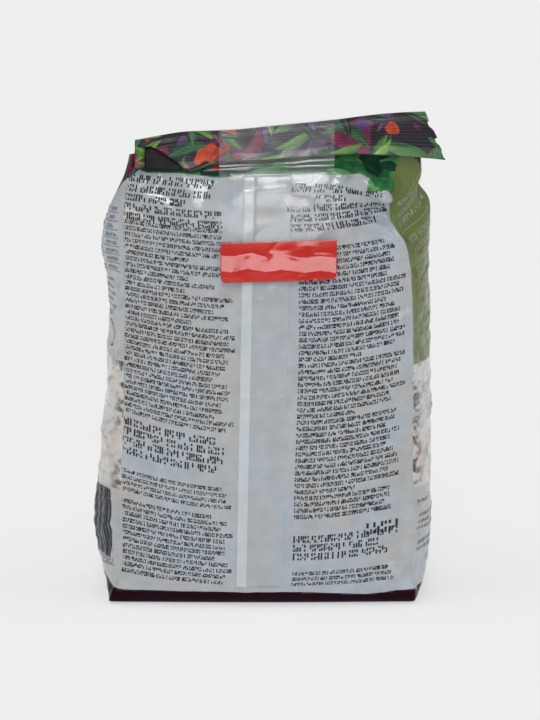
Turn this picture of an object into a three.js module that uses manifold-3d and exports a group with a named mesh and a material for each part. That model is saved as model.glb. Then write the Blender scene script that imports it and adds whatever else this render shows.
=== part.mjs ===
// A film bag that holds 450 g of green lentils, standing on its flat bottom with its seamed back in view.
// The gusseted bag is full up to its shoulders. The empty neck above them is pressed flat, folded over
// towards the back panel and held down by a strip of clear tape that ends in a red tab.
// Millimetres, +Z up, +X to the right of the back panel, and the back panel faces -Y.

import * as THREE from "three";
import { mergeVertices } from "three/addons/utils/BufferGeometryUtils.js";
import Module from "manifold-3d";

// Driving sizes of the filled bag. Each row is [height, value], and a smooth curve runs through them.
const LEFT_EDGE = [[0, -51.5], [10, -47], [38, -46.4], [86, -44.9], [128, -45.3], [136, -44], [148, -42]];
const RIGHT_EDGE = [
  [0, 47], [10, 45.8], [38, 45.6], [101, 44.8], [116, 42.8], [123, 39], [132, 38.2], [140, 42], [148, 45],
];
const LEFT_OUTLINE = [
  [0, -53], [9, -54.6], [26, -56], [57, -53], [84, -51.2], [103, -51.2], [114, -52.8], [126, -50.4],
  [136, -45.6], [148, -42.6],
];
const RIGHT_OUTLINE = [
  [0, 48.6], [10, 51.4], [29, 52.4], [71, 52.1], [96, 51.5], [116, 51.3], [126, 50.6], [133, 49.4],
  [139, 47.6], [148, 46],
];
const BACK_DEPTH = [[0, -23], [60, -23], [120, -23], [132, -21], [140, -19], [148, -18.5]];
const FRONT_DEPTH = [
  [0, 23], [60, 23], [99, 21.5], [114, 12], [124, 1], [132, -8], [139, -14.4], [143, -16],
];
const BACK_BULGE = [[0, 2], [24, 6], [60, 7], [106, 6], [132, 2.2], [142, 0.4], [148, 0]];
const FRONT_BULGE = [[0, 2], [24, 6], [60, 7], [98, 6.2], [122, 3.4], [136, 0.6], [143, 0]];

const BASE_ROUND = 4.5; // radius of the curl from each wall into the flat bottom
const NECK_START = 132; // above this the film leans with the fold
const NECK_TOP = 143.6; // where the pressed neck ends inside the fold, at its left end

// Height of the fold along the top of the bag. Each row is [x, height].
const FOLD_LINE = [
  [-43, 147.7], [-35, 149.2], [-27, 150.5], [-18, 150.9], [-10, 151.2], [0.6, 152.3], [10, 153.2],
  [20.6, 154.3], [33, 155.9], [41.8, 156.6], [49, 156.9],
];

// The folded-over strip, as it hangs on the back panel. Rows of the free edge are [x, height].
const STRIP = {
  left: -41.8,
  rightTop: 49,
  rightBottom: 55.2,
  bottom: [
    [-43, 140], [-24.3, 139.3], [-15.5, 141.6], [-1, 142.4], [20.8, 144], [35, 144], [45.4, 143.3],
    [55, 141.9],
  ],
  backY: -15.4,
  faceTopY: -20,
  faceBottomY: -23.8,
  foldRadius: 2.2,
  foldSteps: 6,
  innerLow: 138, // the leg behind the fold starts here, and ends with the free edge at the right
  innerRise: 0.8,
  lipThickness: 1.5,
  lipRise: 0.2,
  rootSunk: 1, // how far the lip's root is sunk into the leg behind it
  rootRise: 2.2,
  flare: 0.9, // the right end reaches out beyond this share of the length
};
const CRIMP = { ridges: 7, depth: 0.45, from: 0.38, to: 0.9, fade: 0.03 }; // ribs, as shares of the face

// The corner turned under at the left end of the strip.
const DOG_EAR = { left: -34.5, right: -15.5, depth: 1.1, fade: 0.5, from: 0.86, to: 0.93 };
const END_NOTCH = { steps: 3, depth: 1.2 }; // the staggered ends of the film layers

const SEAM = {
  leftTop: -7.8,
  leftBottom: -10.3,
  rightTop: 7.4,
  rightBottom: 4,
  proud: 0.5,
  sunk: 1,
  low: 7.5,
  high: 135,
  columns: 4,
  rows: 26,
};
const TAPE = {
  left: -15.4,
  right: 20.7,
  low: 113,
  bridge: 134, // above this the tape spans to the folded strip
  slopeTop: 142,
  farEnd: 120,
  thickness: 0.3,
  columns: 6,
  steps: { panel: 8, face: 5, fold: 5, slope: 6 },
};
const TAB = {
  left: -14.9,
  right: 21.3,
  low: 104.6,
  high: 116.8,
  rise: 1.1,
  thickness: 0.35,
  lift: 0.9,
  corner: 2,
  columns: 8,
  rows: 9,
};
const GAP = 0.35; // clearance between two pieces of film

// Folds in the slack film, each a straight crease [x1, z1, x2, z2] that stands out or sinks in by depth.
const BACK_FOLDS = [
  { line: [27.5, 135.5, 40, 129.5], width: 2.4, depth: 2.2 },
  { line: [30, 126.5, 39, 124], width: 2.8, depth: -2.6 },
  { line: [-43, 133, -38, 135.5], width: 2.4, depth: 1.4 },
];
const GUSSET_FOLDS = [
  { line: [-17, 133, -20, 119], width: 2.6, depth: -2.4 },
  { line: [-9, 136, -10, 122], width: 2.2, depth: 1.2 },
  { line: [6, 124, 2, 106], width: 5, depth: -2.2 },
];

const BACK_STEPS = 24; // points across each broad wall
const SIDE_STEPS = 12; // points across each gusset
const RING_COUNT = 34; // levels from the bottom to the neck
const STRIP_STATIONS = 24; // sections along the folded strip

const wasm = await Module();
wasm.setup();

const mix = THREE.MathUtils.lerp;
const smooth = THREE.MathUtils.smoothstep;

// A function of height that passes through every row without corners.
function through(rows) {
  const slope = (i) => {
    const a = rows[Math.max(i - 1, 0)];
    const b = rows[Math.min(i + 1, rows.length - 1)];
    return (b[1] - a[1]) / (b[0] - a[0]);
  };
  return (z) => {
    const last = rows.length - 1;
    if (z <= rows[0][0]) return rows[0][1];
    if (z >= rows[last][0]) return rows[last][1];
    const i = rows.findIndex((row) => row[0] > z) - 1;
    const span = rows[i + 1][0] - rows[i][0];
    const t = (z - rows[i][0]) / span;
    const t2 = t * t;
    const t3 = t2 * t;
    return (
      (2 * t3 - 3 * t2 + 1) * rows[i][1] +
      (t3 - 2 * t2 + t) * span * slope(i) +
      (3 * t2 - 2 * t3) * rows[i + 1][1] +
      (t3 - t2) * span * slope(i + 1)
    );
  };
}

const leftEdge = through(LEFT_EDGE);
const rightEdge = through(RIGHT_EDGE);
const leftOutline = through(LEFT_OUTLINE);
const rightOutline = through(RIGHT_OUTLINE);
const backDepth = through(BACK_DEPTH);
const frontDepth = through(FRONT_DEPTH);
const backBulge = through(BACK_BULGE);
const frontBulge = through(FRONT_BULGE);
const stripBottom = through(STRIP.bottom);

const foldHeight = through(FOLD_LINE);
const foldLean = (x, z) => (foldHeight(x) - foldHeight(STRIP.left)) * smooth(z, NECK_START, NECK_TOP);
const spread = (t) => t - 0.1 * Math.sin(2 * Math.PI * t); // crowds the points towards both ends
const crown = (s) => 1 - Math.abs(2 * s - 1) ** 2.2; // 0 at both edges of a wall and 1 at its middle

// How far a set of folds moves the film at (a, z).
function folds(list, a, z) {
  return list.reduce((sum, { line: [a1, z1, a2, z2], width, depth }) => {
    const along = ((a - a1) * (a2 - a1) + (z - z1) * (z2 - z1)) / ((a2 - a1) ** 2 + (z2 - z1) ** 2);
    const t = THREE.MathUtils.clamp(along, 0, 1);
    const away = Math.hypot(a - mix(a1, a2, t), z - mix(z1, z2, t));
    return sum + depth * Math.exp(-((away / width) ** 2));
  }, 0);
}

function backY(x, z) {
  const s = (x - leftEdge(z)) / (rightEdge(z) - leftEdge(z));
  return backDepth(z) - backBulge(z) * crown(s) - folds(BACK_FOLDS, x, z);
}

function frontY(x, z) {
  const s = (x - leftEdge(z)) / (rightEdge(z) - leftEdge(z));
  return frontDepth(z) + frontBulge(z) * crown(s);
}

// One closed ring of the filled bag, counter-clockwise from above: back, right, front and left walls.
function bodyRing(z) {
  const points = [];
  const left = leftEdge(z);
  const right = rightEdge(z);
  const back = backDepth(z);
  const front = frontDepth(z);
  for (let i = 0; i < BACK_STEPS; i++) {
    const x = mix(left, right, spread(i / BACK_STEPS));
    points.push(new THREE.Vector2(x, backY(x, z)));
  }
  for (let i = 0; i < SIDE_STEPS; i++) {
    const s = spread(i / SIDE_STEPS);
    const y = mix(back, front, s);
    const out = (rightOutline(z) - right) * crown(s) + folds(GUSSET_FOLDS, y, z);
    points.push(new THREE.Vector2(right + out, y));
  }
  for (let i = 0; i < BACK_STEPS; i++) {
    const x = mix(right, left, spread(i / BACK_STEPS));
    points.push(new THREE.Vector2(x, frontY(x, z)));
  }
  for (let i = 0; i < SIDE_STEPS; i++) {
    const s = spread(i / SIDE_STEPS);
    points.push(new THREE.Vector2(left + (leftOutline(z) - left) * crown(s), mix(front, back, s)));
  }
  return rounded(points, 2);
}

// Softens the four upright creases by averaging each point with its neighbours.
function rounded(points, passes) {
  let ring = points;
  for (let pass = 0; pass < passes; pass++) {
    const count = ring.length;
    ring = ring.map((p, i) => {
      const before = ring[(i + count - 1) % count];
      const after = ring[(i + 1) % count];
      return new THREE.Vector2((before.x + 2 * p.x + after.x) / 4, (before.y + 2 * p.y + after.y) / 4);
    });
  }
  return ring;
}

// The curl into the flat bottom pulls the lowest rings towards the middle of the base.
function curled(point, z) {
  if (z >= BASE_ROUND) return point;
  const inset = BASE_ROUND - Math.sqrt(BASE_ROUND ** 2 - (BASE_ROUND - z) ** 2);
  const reachX = Math.abs(point.x);
  const reachY = Math.abs(point.y);
  return new THREE.Vector2(
    point.x * (1 - (inset * 0.2) / Math.max(reachX, BASE_ROUND * 3)),
    point.y * (1 - inset / Math.max(reachY, BASE_ROUND * 3)),
  );
}

// Rings of equal length joined into one closed skin, with each end closed by the given cap.
function loft(rings, cap) {
  const positions = [];
  const triangle = (a, b, c) => positions.push(...a.toArray(), ...b.toArray(), ...c.toArray());
  const count = rings[0].length;
  for (let r = 0; r + 1 < rings.length; r++) {
    for (let i = 0; i < count; i++) {
      const j = (i + 1) % count;
      triangle(rings[r][i], rings[r][j], rings[r + 1][j]);
      triangle(rings[r][i], rings[r + 1][j], rings[r + 1][i]);
    }
  }
  cap([...rings[0]].reverse(), triangle);
  cap(rings[rings.length - 1], triangle);
  return new THREE.BufferGeometry().setAttribute("position", new THREE.Float32BufferAttribute(positions, 3));
}

// Closes a bulky ring with a fan about its middle.
function fanCap(ring, triangle) {
  const middle = ring.reduce((sum, p) => sum.add(p), new THREE.Vector3()).divideScalar(ring.length);
  ring.forEach((p, i) => triangle(p, ring[(i + 1) % ring.length], middle));
}

// Closes a thin ring with a ladder between its two long sides.
function ladderCap(ring, triangle) {
  const last = ring.length - 1;
  for (let i = 0; i < last - 1 - i; i++) {
    triangle(ring[i], ring[i + 1], ring[last - i]);
    if (i + 1 < last - 1 - i) triangle(ring[i + 1], ring[last - 1 - i], ring[last - i]);
  }
}

// A thin plate between an inner and an outer surface, each a function of (u, v) from 0 to 1.
function plate(inner, outer, uSteps, vSteps) {
  const rings = [];
  for (let i = 0; i <= uSteps; i++) {
    const ring = [];
    for (let j = 0; j <= vSteps; j++) ring.push(inner(i / uSteps, j / vSteps));
    for (let j = vSteps; j >= 0; j--) ring.push(outer(i / uSteps, j / vSteps));
    rings.push(ring);
  }
  return loft(rings, ladderCap);
}

// The filled bag from its flat bottom to the top of the pressed neck.
function bodyGeometry() {
  const rings = [];
  for (let i = 0; i < RING_COUNT; i++) {
    const share = i / (RING_COUNT - 1);
    const z = NECK_TOP * spread(share);
    rings.push(
      bodyRing(z).map((p) => {
        const q = curled(p, z);
        return new THREE.Vector3(q.x, q.y, z + foldLean(q.x, z));
      }),
    );
  }
  return loft(rings, fanCap);
}

// The outer face of the folded strip at a share s of its height, 0 at the free edge and 1 at the fold.
function stripFaceY(x, s) {
  const beyondCrimp = smooth(s, CRIMP.to, CRIMP.to + CRIMP.fade);
  const inCrimp = smooth(s, CRIMP.from - CRIMP.fade, CRIMP.from) * (1 - beyondCrimp);
  const turn = ((s - CRIMP.from) / (CRIMP.to - CRIMP.from)) * CRIMP.ridges * Math.PI;
  const rib = CRIMP.depth * Math.abs(Math.sin(turn)) * inCrimp;
  const earEdge = mix(DOG_EAR.left, DOG_EAR.right, 1 - s);
  const underEar = 1 - smooth(x, earEdge - DOG_EAR.fade, earEdge + DOG_EAR.fade);
  const turnedUnder = DOG_EAR.depth * underEar * (1 - smooth(s, DOG_EAR.from, DOG_EAR.to));
  return mix(STRIP.faceBottomY, STRIP.faceTopY, s) - rib + turnedUnder;
}

// One upright section of the folded strip at x. Its right end is staggered where the film layers stop.
function stripRing(share) {
  const alongX = mix(STRIP.left, STRIP.rightTop, share);
  const bottom = stripBottom(alongX);
  const top = foldHeight(alongX);
  const faceTop = top - STRIP.foldRadius;
  const faceSteps = 2 * CRIMP.ridges + 8;
  const points = [];
  const push = (y, z) => {
    const drop = THREE.MathUtils.clamp((top - z) / (top - bottom), 0, 1);
    const notch = END_NOTCH.depth * ((drop * END_NOTCH.steps) % 1) * smooth(drop, 0, 0.2);
    const reach = (STRIP.rightBottom - STRIP.rightTop) * drop - notch * (drop < 0.98 ? 1 : 0);
    const x = alongX + reach * smooth(share, STRIP.flare, 1);
    points.push(new THREE.Vector3(x, y, z));
  };
  const inner = mix(STRIP.innerLow, bottom + STRIP.innerRise, smooth(alongX, 36, 44));
  push(STRIP.backY, inner);
  push(STRIP.backY, mix(inner, faceTop, 0.5));
  for (let i = 0; i <= STRIP.foldSteps; i++) {
    const angle = (Math.PI * i) / STRIP.foldSteps;
    const middleY = (STRIP.backY + STRIP.faceTopY) / 2;
    push(middleY + (STRIP.backY - middleY) * Math.cos(angle), faceTop + STRIP.foldRadius * Math.sin(angle));
  }
  for (let i = 1; i <= faceSteps; i++) {
    const s = 1 - i / faceSteps;
    push(stripFaceY(alongX, s), mix(bottom, faceTop, s));
  }
  push(STRIP.faceBottomY + STRIP.lipThickness, bottom + STRIP.lipRise);
  push(STRIP.backY - STRIP.rootSunk, bottom + STRIP.rootRise);
  return points;
}

function stripGeometry() {
  const rings = [];
  for (let i = 0; i <= STRIP_STATIONS; i++) rings.push(stripRing(i / STRIP_STATIONS));
  return loft(rings, fanCap);
}

// The back seam: one edge of the film lapped flat over the other as a low band.
function seamGeometry() {
  const seamPoint = (u, v, y) => {
    const z = mix(SEAM.low, SEAM.high, v);
    const x = mix(mix(SEAM.leftBottom, SEAM.leftTop, v), mix(SEAM.rightBottom, SEAM.rightTop, v), u);
    return new THREE.Vector3(x, backY(x, z) + y, z);
  };
  return plate(
    (u, v) => seamPoint(u, v, SEAM.sunk),
    (u, v) => seamPoint(u, v, -SEAM.proud),
    SEAM.columns,
    SEAM.rows,
  );
}

// The outside of the bag at x, from the back panel over the fold and down the far slope: [y, z] points.
function wrapPath(x, low) {
  const path = [];
  const bottom = stripBottom(x);
  const faceTop = foldHeight(x) - STRIP.foldRadius;
  const { panel, face, fold, slope } = TAPE.steps;
  for (let i = 0; i <= panel; i++) {
    const z = mix(low, TAPE.bridge, i / panel);
    path.push([backY(x, z) - SEAM.proud, z]);
  }
  for (let i = 0; i <= face; i++) {
    const s = i / face;
    path.push([mix(STRIP.faceBottomY, STRIP.faceTopY, s) - CRIMP.depth, mix(bottom, faceTop, s)]);
  }
  for (let i = 1; i <= fold; i++) {
    const angle = Math.PI * (1 - i / (fold + 1));
    const middleY = (STRIP.backY + STRIP.faceTopY - CRIMP.depth) / 2;
    const halfY = (STRIP.backY - STRIP.faceTopY + CRIMP.depth) / 2;
    path.push([middleY + halfY * Math.cos(angle), faceTop + STRIP.foldRadius * Math.sin(angle)]);
  }
  path.push([STRIP.backY + 0.1, faceTop - 1]);
  for (let i = 0; i <= slope; i++) {
    const z = mix(TAPE.slopeTop, TAPE.farEnd, i / slope);
    path.push([Math.max(frontY(x, z), STRIP.backY) + 0.1, z + foldLean(x, z)]);
  }
  return path;
}

// The same path moved out from the bag by a distance.
function movedOut(path, distance) {
  return path.map(([y, z], i) => {
    const before = path[Math.max(i - 1, 0)];
    const after = path[Math.min(i + 1, path.length - 1)];
    const along = new THREE.Vector2(after[0] - before[0], after[1] - before[1]).normalize();
    return [y - along.y * distance, z + along.x * distance];
  });
}

// The clear tape, from under the red tab over the fold to the far slope.
function tapeGeometry() {
  const steps = wrapPath(0, TAPE.low).length - 1;
  const tapePoint = (u, v, distance) => {
    const x = mix(TAPE.left, TAPE.right, u);
    const [y, z] = movedOut(wrapPath(x, TAPE.low), distance)[Math.round(v * steps)];
    return new THREE.Vector3(x, y, z);
  };
  return plate(
    (u, v) => tapePoint(u, v, GAP),
    (u, v) => tapePoint(u, v, GAP + TAPE.thickness),
    TAPE.columns,
    steps,
  );
}

// The red tab over the end of the tape: round lower corners, and a lower edge that stands off the bag.
function tabGeometry() {
  const offset = SEAM.proud + GAP + TAPE.thickness + GAP;
  const tabPoint = (u, v, distance) => {
    const z = mix(TAB.low, TAB.high, v);
    const rise = TAB.rise * u;
    const inCorner = Math.max(0, 1 - (z - TAB.low) / TAB.corner);
    const inset = TAB.corner * (1 - Math.sqrt(Math.max(0, 1 - inCorner ** 2))) * 0.8;
    const x = mix(TAB.left + inset, TAB.right - inset, u);
    const lifted = TAB.lift * (1 - v) ** 2;
    return new THREE.Vector3(x, backY(x, z) - offset - lifted - distance, z + rise);
  };
  return plate(
    (u, v) => tabPoint(u, v, 0),
    (u, v) => tabPoint(u, v, TAB.thickness),
    TAB.columns,
    TAB.rows,
  );
}

// A closed geometry as a solid that can be joined to others, and a solid as a geometry again.
function toSolid(geometry) {
  const merged = mergeVertices(geometry, 1e-4);
  return new wasm.Manifold(
    new wasm.Mesh({
      numProp: 3,
      vertProperties: merged.attributes.position.array,
      triVerts: new Uint32Array(merged.index.array),
    }),
  );
}

function toGeometry(solid) {
  const mesh = solid.getMesh();
  return new THREE.BufferGeometry()
    .setAttribute("position", new THREE.BufferAttribute(new Float32Array(mesh.vertProperties), 3))
    .setIndex(new THREE.BufferAttribute(new Uint32Array(mesh.triVerts), 1));
}

function makeBag() {
  const solid = toSolid(bodyGeometry()).add(toSolid(stripGeometry())).add(toSolid(seamGeometry()));
  const material = new THREE.MeshStandardMaterial({ color: 0xb4babf, roughness: 0.38, metalness: 0 });
  const mesh = new THREE.Mesh(toGeometry(solid), material);
  mesh.name = "bag";
  return mesh;
}

function makeTape() {
  const material = new THREE.MeshStandardMaterial({
    color: 0xe8eef0,
    roughness: 0.12,
    metalness: 0,
    transparent: true,
    opacity: 0.3,
  });
  const mesh = new THREE.Mesh(toGeometry(toSolid(tapeGeometry())), material);
  mesh.name = "closure_tape";
  return mesh;
}

function makeTab() {
  const material = new THREE.MeshStandardMaterial({ color: 0xb82020, roughness: 0.25, metalness: 0 });
  const mesh = new THREE.Mesh(toGeometry(toSolid(tabGeometry())), material);
  mesh.name = "opening_tab";
  return mesh;
}

// The origin is on the floor, under the middle of the bag's box.
const lentilBag = new THREE.Group();
lentilBag.add(makeBag(), makeTape(), makeTab());
const box = new THREE.Box3().setFromObject(lentilBag);
for (const piece of lentilBag.children) {
  piece.geometry.translate(-(box.min.x + box.max.x) / 2, -(box.min.y + box.max.y) / 2, -box.min.z);
}

export default lentilBag;
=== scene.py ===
import math
import bpy
import numpy as np
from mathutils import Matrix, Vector, noise


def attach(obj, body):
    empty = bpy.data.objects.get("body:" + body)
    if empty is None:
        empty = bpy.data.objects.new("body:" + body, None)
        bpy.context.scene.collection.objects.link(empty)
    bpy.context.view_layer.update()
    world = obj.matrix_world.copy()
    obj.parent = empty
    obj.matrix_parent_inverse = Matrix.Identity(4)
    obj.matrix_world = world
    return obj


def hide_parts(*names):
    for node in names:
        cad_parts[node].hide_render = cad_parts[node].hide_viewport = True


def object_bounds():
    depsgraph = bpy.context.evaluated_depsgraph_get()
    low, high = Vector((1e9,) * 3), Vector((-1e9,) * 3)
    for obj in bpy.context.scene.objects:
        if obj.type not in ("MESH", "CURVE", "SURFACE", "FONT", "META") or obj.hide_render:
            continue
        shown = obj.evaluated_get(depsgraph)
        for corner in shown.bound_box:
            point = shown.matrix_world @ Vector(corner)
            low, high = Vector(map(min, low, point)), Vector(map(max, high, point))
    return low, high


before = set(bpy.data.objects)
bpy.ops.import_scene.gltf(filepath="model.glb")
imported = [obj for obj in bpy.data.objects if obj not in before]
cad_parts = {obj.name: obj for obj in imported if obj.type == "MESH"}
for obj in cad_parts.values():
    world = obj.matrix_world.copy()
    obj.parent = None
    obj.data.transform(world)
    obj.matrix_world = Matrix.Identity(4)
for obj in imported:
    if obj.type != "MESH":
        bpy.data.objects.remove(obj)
cadLow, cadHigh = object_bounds()
print("frame loaded with the nodes", ", ".join(sorted(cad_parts)))

# The bag is laid out in millimetres, its seamed back towards -y, and scaled to metres when a mesh is made.
mm = 0.001

# The filled bag. Each row is (height, value) and a smooth curve runs through the rows.
bag = {
    "leftEdge": [(0, -51.5), (10, -47), (38, -46.4), (86, -44.9), (128, -45.3), (136, -44), (148, -42)],
    "rightEdge": [
        (0, 47), (10, 45.8), (38, 45.6), (101, 44.8), (116, 42.8), (123, 39), (132, 38.2), (140, 42),
        (148, 45),
    ],
    "leftOutline": [
        (0, -51.7), (5, -52.5), (10, -53.6), (16, -54.9), (26, -56), (57, -53), (84, -51.2), (103, -51.2),
        (114, -52.8), (126, -50.4), (136, -45.6), (148, -42.6),
    ],
    "rightOutline": [
        (0, 48.6), (10, 51.4), (29, 52.4), (71, 52.1), (96, 51.5), (116, 51.3), (126, 50.6), (133, 49.4),
        (139, 47.6), (148, 46),
    ],
    "backDepth": [(0, -23), (60, -23), (120, -23), (132, -21), (140, -19), (148, -18.5)],
    "frontDepth": [(0, 23), (60, 23), (99, 21.5), (114, 12), (124, 1), (132, -8), (139, -14.4), (143, -16)],
    "backBulge": [(0, 2), (24, 6), (60, 7), (106, 6), (132, 2.2), (142, 0.4), (148, 0)],
    "frontBulge": [(0, 2), (24, 6), (60, 7), (98, 6.2), (122, 3.4), (136, 0.6), (143, 0)],
    "baseRound": 3.4,  # curl of the walls into the flat bottom
    "neckStart": 132,
    "neckTop": 143.6,
    "fattest": 60,  # height at which the front bulges most
}

# The neck folded over towards the back.
foldedTop = {
    "left": -41.8,
    "rightTop": 49,
    "rightBottom": 55.2,
    "foldLine": [
        (-43, 147.7), (-35, 149.2), (-27, 150.5), (-18, 150.9), (-10, 151.2), (0.6, 152.3), (10, 153.2),
        (20.6, 154.3), (33, 155.9), (41.8, 156.6), (49, 156.9),
    ],
    "bottom": [
        (-43, 140), (-24.3, 139.3), (-15.5, 141.6), (-1, 142.4), (20.8, 144), (35, 144), (46, 142.9),
        (55, 141.3),
    ],
    "backY": -15.4,
    "faceTopY": -20,
    "faceBottomY": -23.8,
    "foldRadius": 2.2,
    "backLegLow": 138,  # the film behind the fold starts here
    "thickBack": 0.5,
    "thickFold": 2.1,  # the rolled film fills the fold
    "thickFace": 1.3,
    "ribs": 7,
    "ribDepth": 0.5,
    "ribLow": 0.3,  # shares of the face's height
    "ribHigh": 0.95,
    "earLeft": -37.5,
    "earRight": -26,
    "earDepth": 1.3,
    "flapEdge": [(0, -25.8), (0.12, -18.3), (0.95, -14.2)],  # (share of the face's height, x)
    "flapStep": 0.6,
    "endSteps": (-0.9, 0.5),  # how far the layers step in and out down the right-hand end
    "endSeed": 23,
    "stations": 300,
    "backRows": 13,
    "foldRows": 16,
    "faceRows": 66,
}

# How fine the film's mesh is: columns across each wall, and rows up it.
filmMesh = {
    "columns": {"back": 170, "right": 96, "front": 94, "left": 96},
    "rows": [(0, 4.5, 9), (5.2, 124, 160), (124.5, 143.6, 40)],
    "cornerPasses": 4,
    "cornerRidge": 0.55,  # the heat-creased edge between two walls stands out by this much
    "ridgeWidth": 0.8,
    "baseRings": [0.05, 0.3, 0.55, 0.75, 0.9, 0.97],
    "baseLift": 0.5,
    "footTuck": 0.8,
}


def throughRows(rows):
    xs, ys = np.array(rows, float).T
    before = np.r_[0, np.arange(len(xs) - 1)]
    after = np.r_[np.arange(1, len(xs)), len(xs) - 1]
    slopes = (ys[after] - ys[before]) / (xs[after] - xs[before])

    def at(where):
        where = np.clip(where, xs[0], xs[-1])
        i = np.clip(np.searchsorted(xs, where, side="right") - 1, 0, len(xs) - 2)
        span = xs[i + 1] - xs[i]
        t = (where - xs[i]) / span
        bend = t * t * (3 - 2 * t)
        ends = (t**3 - 2 * t**2 + t) * slopes[i] + (t**3 - t**2) * slopes[i + 1]
        return (1 - bend) * ys[i] + bend * ys[i + 1] + span * ends

    return at


leftEdge = throughRows(bag["leftEdge"])
rightEdge = throughRows(bag["rightEdge"])
leftOutline = throughRows(bag["leftOutline"])
rightOutline = throughRows(bag["rightOutline"])
backDepth = throughRows(bag["backDepth"])
frontDepth = throughRows(bag["frontDepth"])
backBulge = throughRows(bag["backBulge"])
frontBulge = throughRows(bag["frontBulge"])
foldHeight = throughRows(foldedTop["foldLine"])
stripBottom = throughRows(foldedTop["bottom"])

# from the layout's axes to the frame's, whose box is centred on the origin
frontReach = frontDepth(bag["fattest"]) + frontBulge(bag["fattest"])
layoutShift = np.array([cadHigh.x / mm - foldedTop["rightBottom"], cadHigh.y / mm - frontReach, 0])


def blendStep(value, low, high):
    t = np.clip((value - low) / (high - low), 0, 1)
    return t * t * (3 - 2 * t)


def crown(s):
    return 1 - np.abs(2 * s - 1) ** 2.2  # 0 at both edges of a wall and 1 at its middle


def foldLean(x, z):
    rise = foldHeight(x) - foldHeight(foldedTop["left"])
    return rise * blendStep(z, bag["neckStart"], bag["neckTop"])


def creaseRelief(creases, a, z, power=2.0):
    # how far creases, as rows of (line, width, depth, fading towards the ends), stand out at each place
    total = np.zeros(np.broadcast(a, z).shape)
    for (a1, z1, a2, z2), width, depth, taper in creases:
        runA, runZ = a2 - a1, z2 - z1
        t = np.clip(((a - a1) * runA + (z - z1) * runZ) / (runA**2 + runZ**2), 0, 1)
        away = np.hypot(a - a1 - t * runA, z - z1 - t * runZ)
        total += depth * (1 - taper * np.abs(2 * t - 1) ** 2) * np.exp(-((away / width) ** power))
    return total


def strayCreases(seed, count, across, up, slope, length, width, depth):
    draw = np.random.default_rng(seed)
    made = []
    for _ in range(count):
        a = draw.uniform(*across)
        z = draw.uniform(*up)
        angle = math.radians(draw.uniform(*slope))
        reach = draw.uniform(*length) / 2
        line = (
            a - reach * math.cos(angle), z - reach * math.sin(angle),
            a + reach * math.cos(angle), z + reach * math.sin(angle),
        )
        sign = draw.choice([-1, 1])
        made.append((line, draw.uniform(*width), sign * draw.uniform(*depth), 0.9))
    return made


def lumps(points, size, seed=0):
    shift = Vector((seed * 17.3, seed * 5.1, seed * 9.7))
    flat = [noise.noise(Vector(p) / size + shift) for p in points.reshape(-1, 3)]
    return np.array(flat).reshape(points.shape[:-1])


def gridNormals(points, closed):
    if closed:
        along = np.roll(points, -1, 1) - np.roll(points, 1, 1)
    else:
        along = np.gradient(points, axis=1)
    normal = np.cross(along, np.gradient(points, axis=0))
    return normal / np.maximum(np.linalg.norm(normal, axis=-1, keepdims=True), 1e-9)


def cellCorners(grid):
    return np.stack([grid[:-1, :-1], grid[:-1, 1:], grid[1:, 1:], grid[1:, :-1]], 2)


def gridFaces(rows, columns, closed=False):
    index = np.arange(rows * columns).reshape(rows, columns)
    if closed:
        index = np.c_[index, index[:, :1]]
    return cellCorners(index).reshape(-1, 4)


def makePiece(name, points, faces, extraFaces=()):
    mesh = bpy.data.meshes.new(name)
    placed = (np.asarray(points, float).reshape(-1, 3) + layoutShift) * mm
    mesh.from_pydata(placed.tolist(), [], np.asarray(faces).tolist() + [list(f) for f in extraFaces])
    mesh.polygons.foreach_set("use_smooth", [True] * len(mesh.polygons))
    mesh.update()
    piece = bpy.data.objects.new(name, mesh)
    bpy.context.scene.collection.objects.link(piece)
    return piece


def makePlate(name, face, back):
    # a thin closed plate between two grids of points; each row runs along its face, then back behind it
    rows, columns = face.shape[:2]
    ends = []
    for row in (0, rows - 1):
        first = row * 2 * columns
        for k in range(columns - 1):
            a, b = first + k, first + k + 1
            c, d = first + 2 * columns - 2 - k, first + 2 * columns - 1 - k
            ends.append((d, c, b, a) if row == 0 else (a, b, c, d))
    loop = np.concatenate([face, back[:, ::-1]], 1)
    return makePiece(name, loop, gridFaces(rows, 2 * columns, True), ends)


def addMark(piece, name, values):
    mark = piece.data.attributes.new(name, "FLOAT", "POINT")
    mark.data.foreach_set("value", np.asarray(values, np.float32).ravel())


def setUv(piece, name, corners):
    layer = piece.data.uv_layers.new(name=name)
    flat = np.zeros((len(piece.data.loops), 2), np.float32)
    flat[: len(corners)] = corners
    layer.data.foreach_set("uv", flat.ravel())


def addNode(tree, kind, inputs=None, **settings):
    made = tree.nodes.new(kind)
    for key, value in settings.items():
        setattr(made, key, value)
    for key, value in (inputs or {}).items():
        if isinstance(value, bpy.types.NodeSocket):
            tree.links.new(value, made.inputs[key])
        else:
            made.inputs[key].default_value = value
    return made


def calc(tree, operation, *values):
    return addNode(tree, "ShaderNodeMath", dict(enumerate(values)), operation=operation).outputs[0]


def mixColour(tree, factor, under, over, how="MIX"):
    inputs = {0: factor, 6: under, 7: over}
    return addNode(tree, "ShaderNodeMix", inputs, data_type="RGBA", blend_type=how).outputs[2]


def mapRange(tree, value, low, high, toLow=0.0, toHigh=1.0):
    inputs = {"Value": value, "From Min": low, "From Max": high, "To Min": toLow, "To Max": toHigh}
    return addNode(tree, "ShaderNodeMapRange", inputs).outputs[0]


def rampOf(tree, value, stops, how="LINEAR"):
    made = addNode(tree, "ShaderNodeValToRGB", {0: value})
    made.color_ramp.interpolation = how
    elements = made.color_ramp.elements
    while len(elements) < len(stops):
        elements.new(0.5)
    for element, (place, colour) in zip(elements, stops):
        element.position = place
        element.color = (*colour, 1) if len(colour) == 3 else colour
    return made.outputs[0]


def rgba(colour):
    return (*colour, 1.0)


def objectPlace(tree):
    return addNode(tree, "ShaderNodeTexCoord").outputs["Object"]


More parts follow.
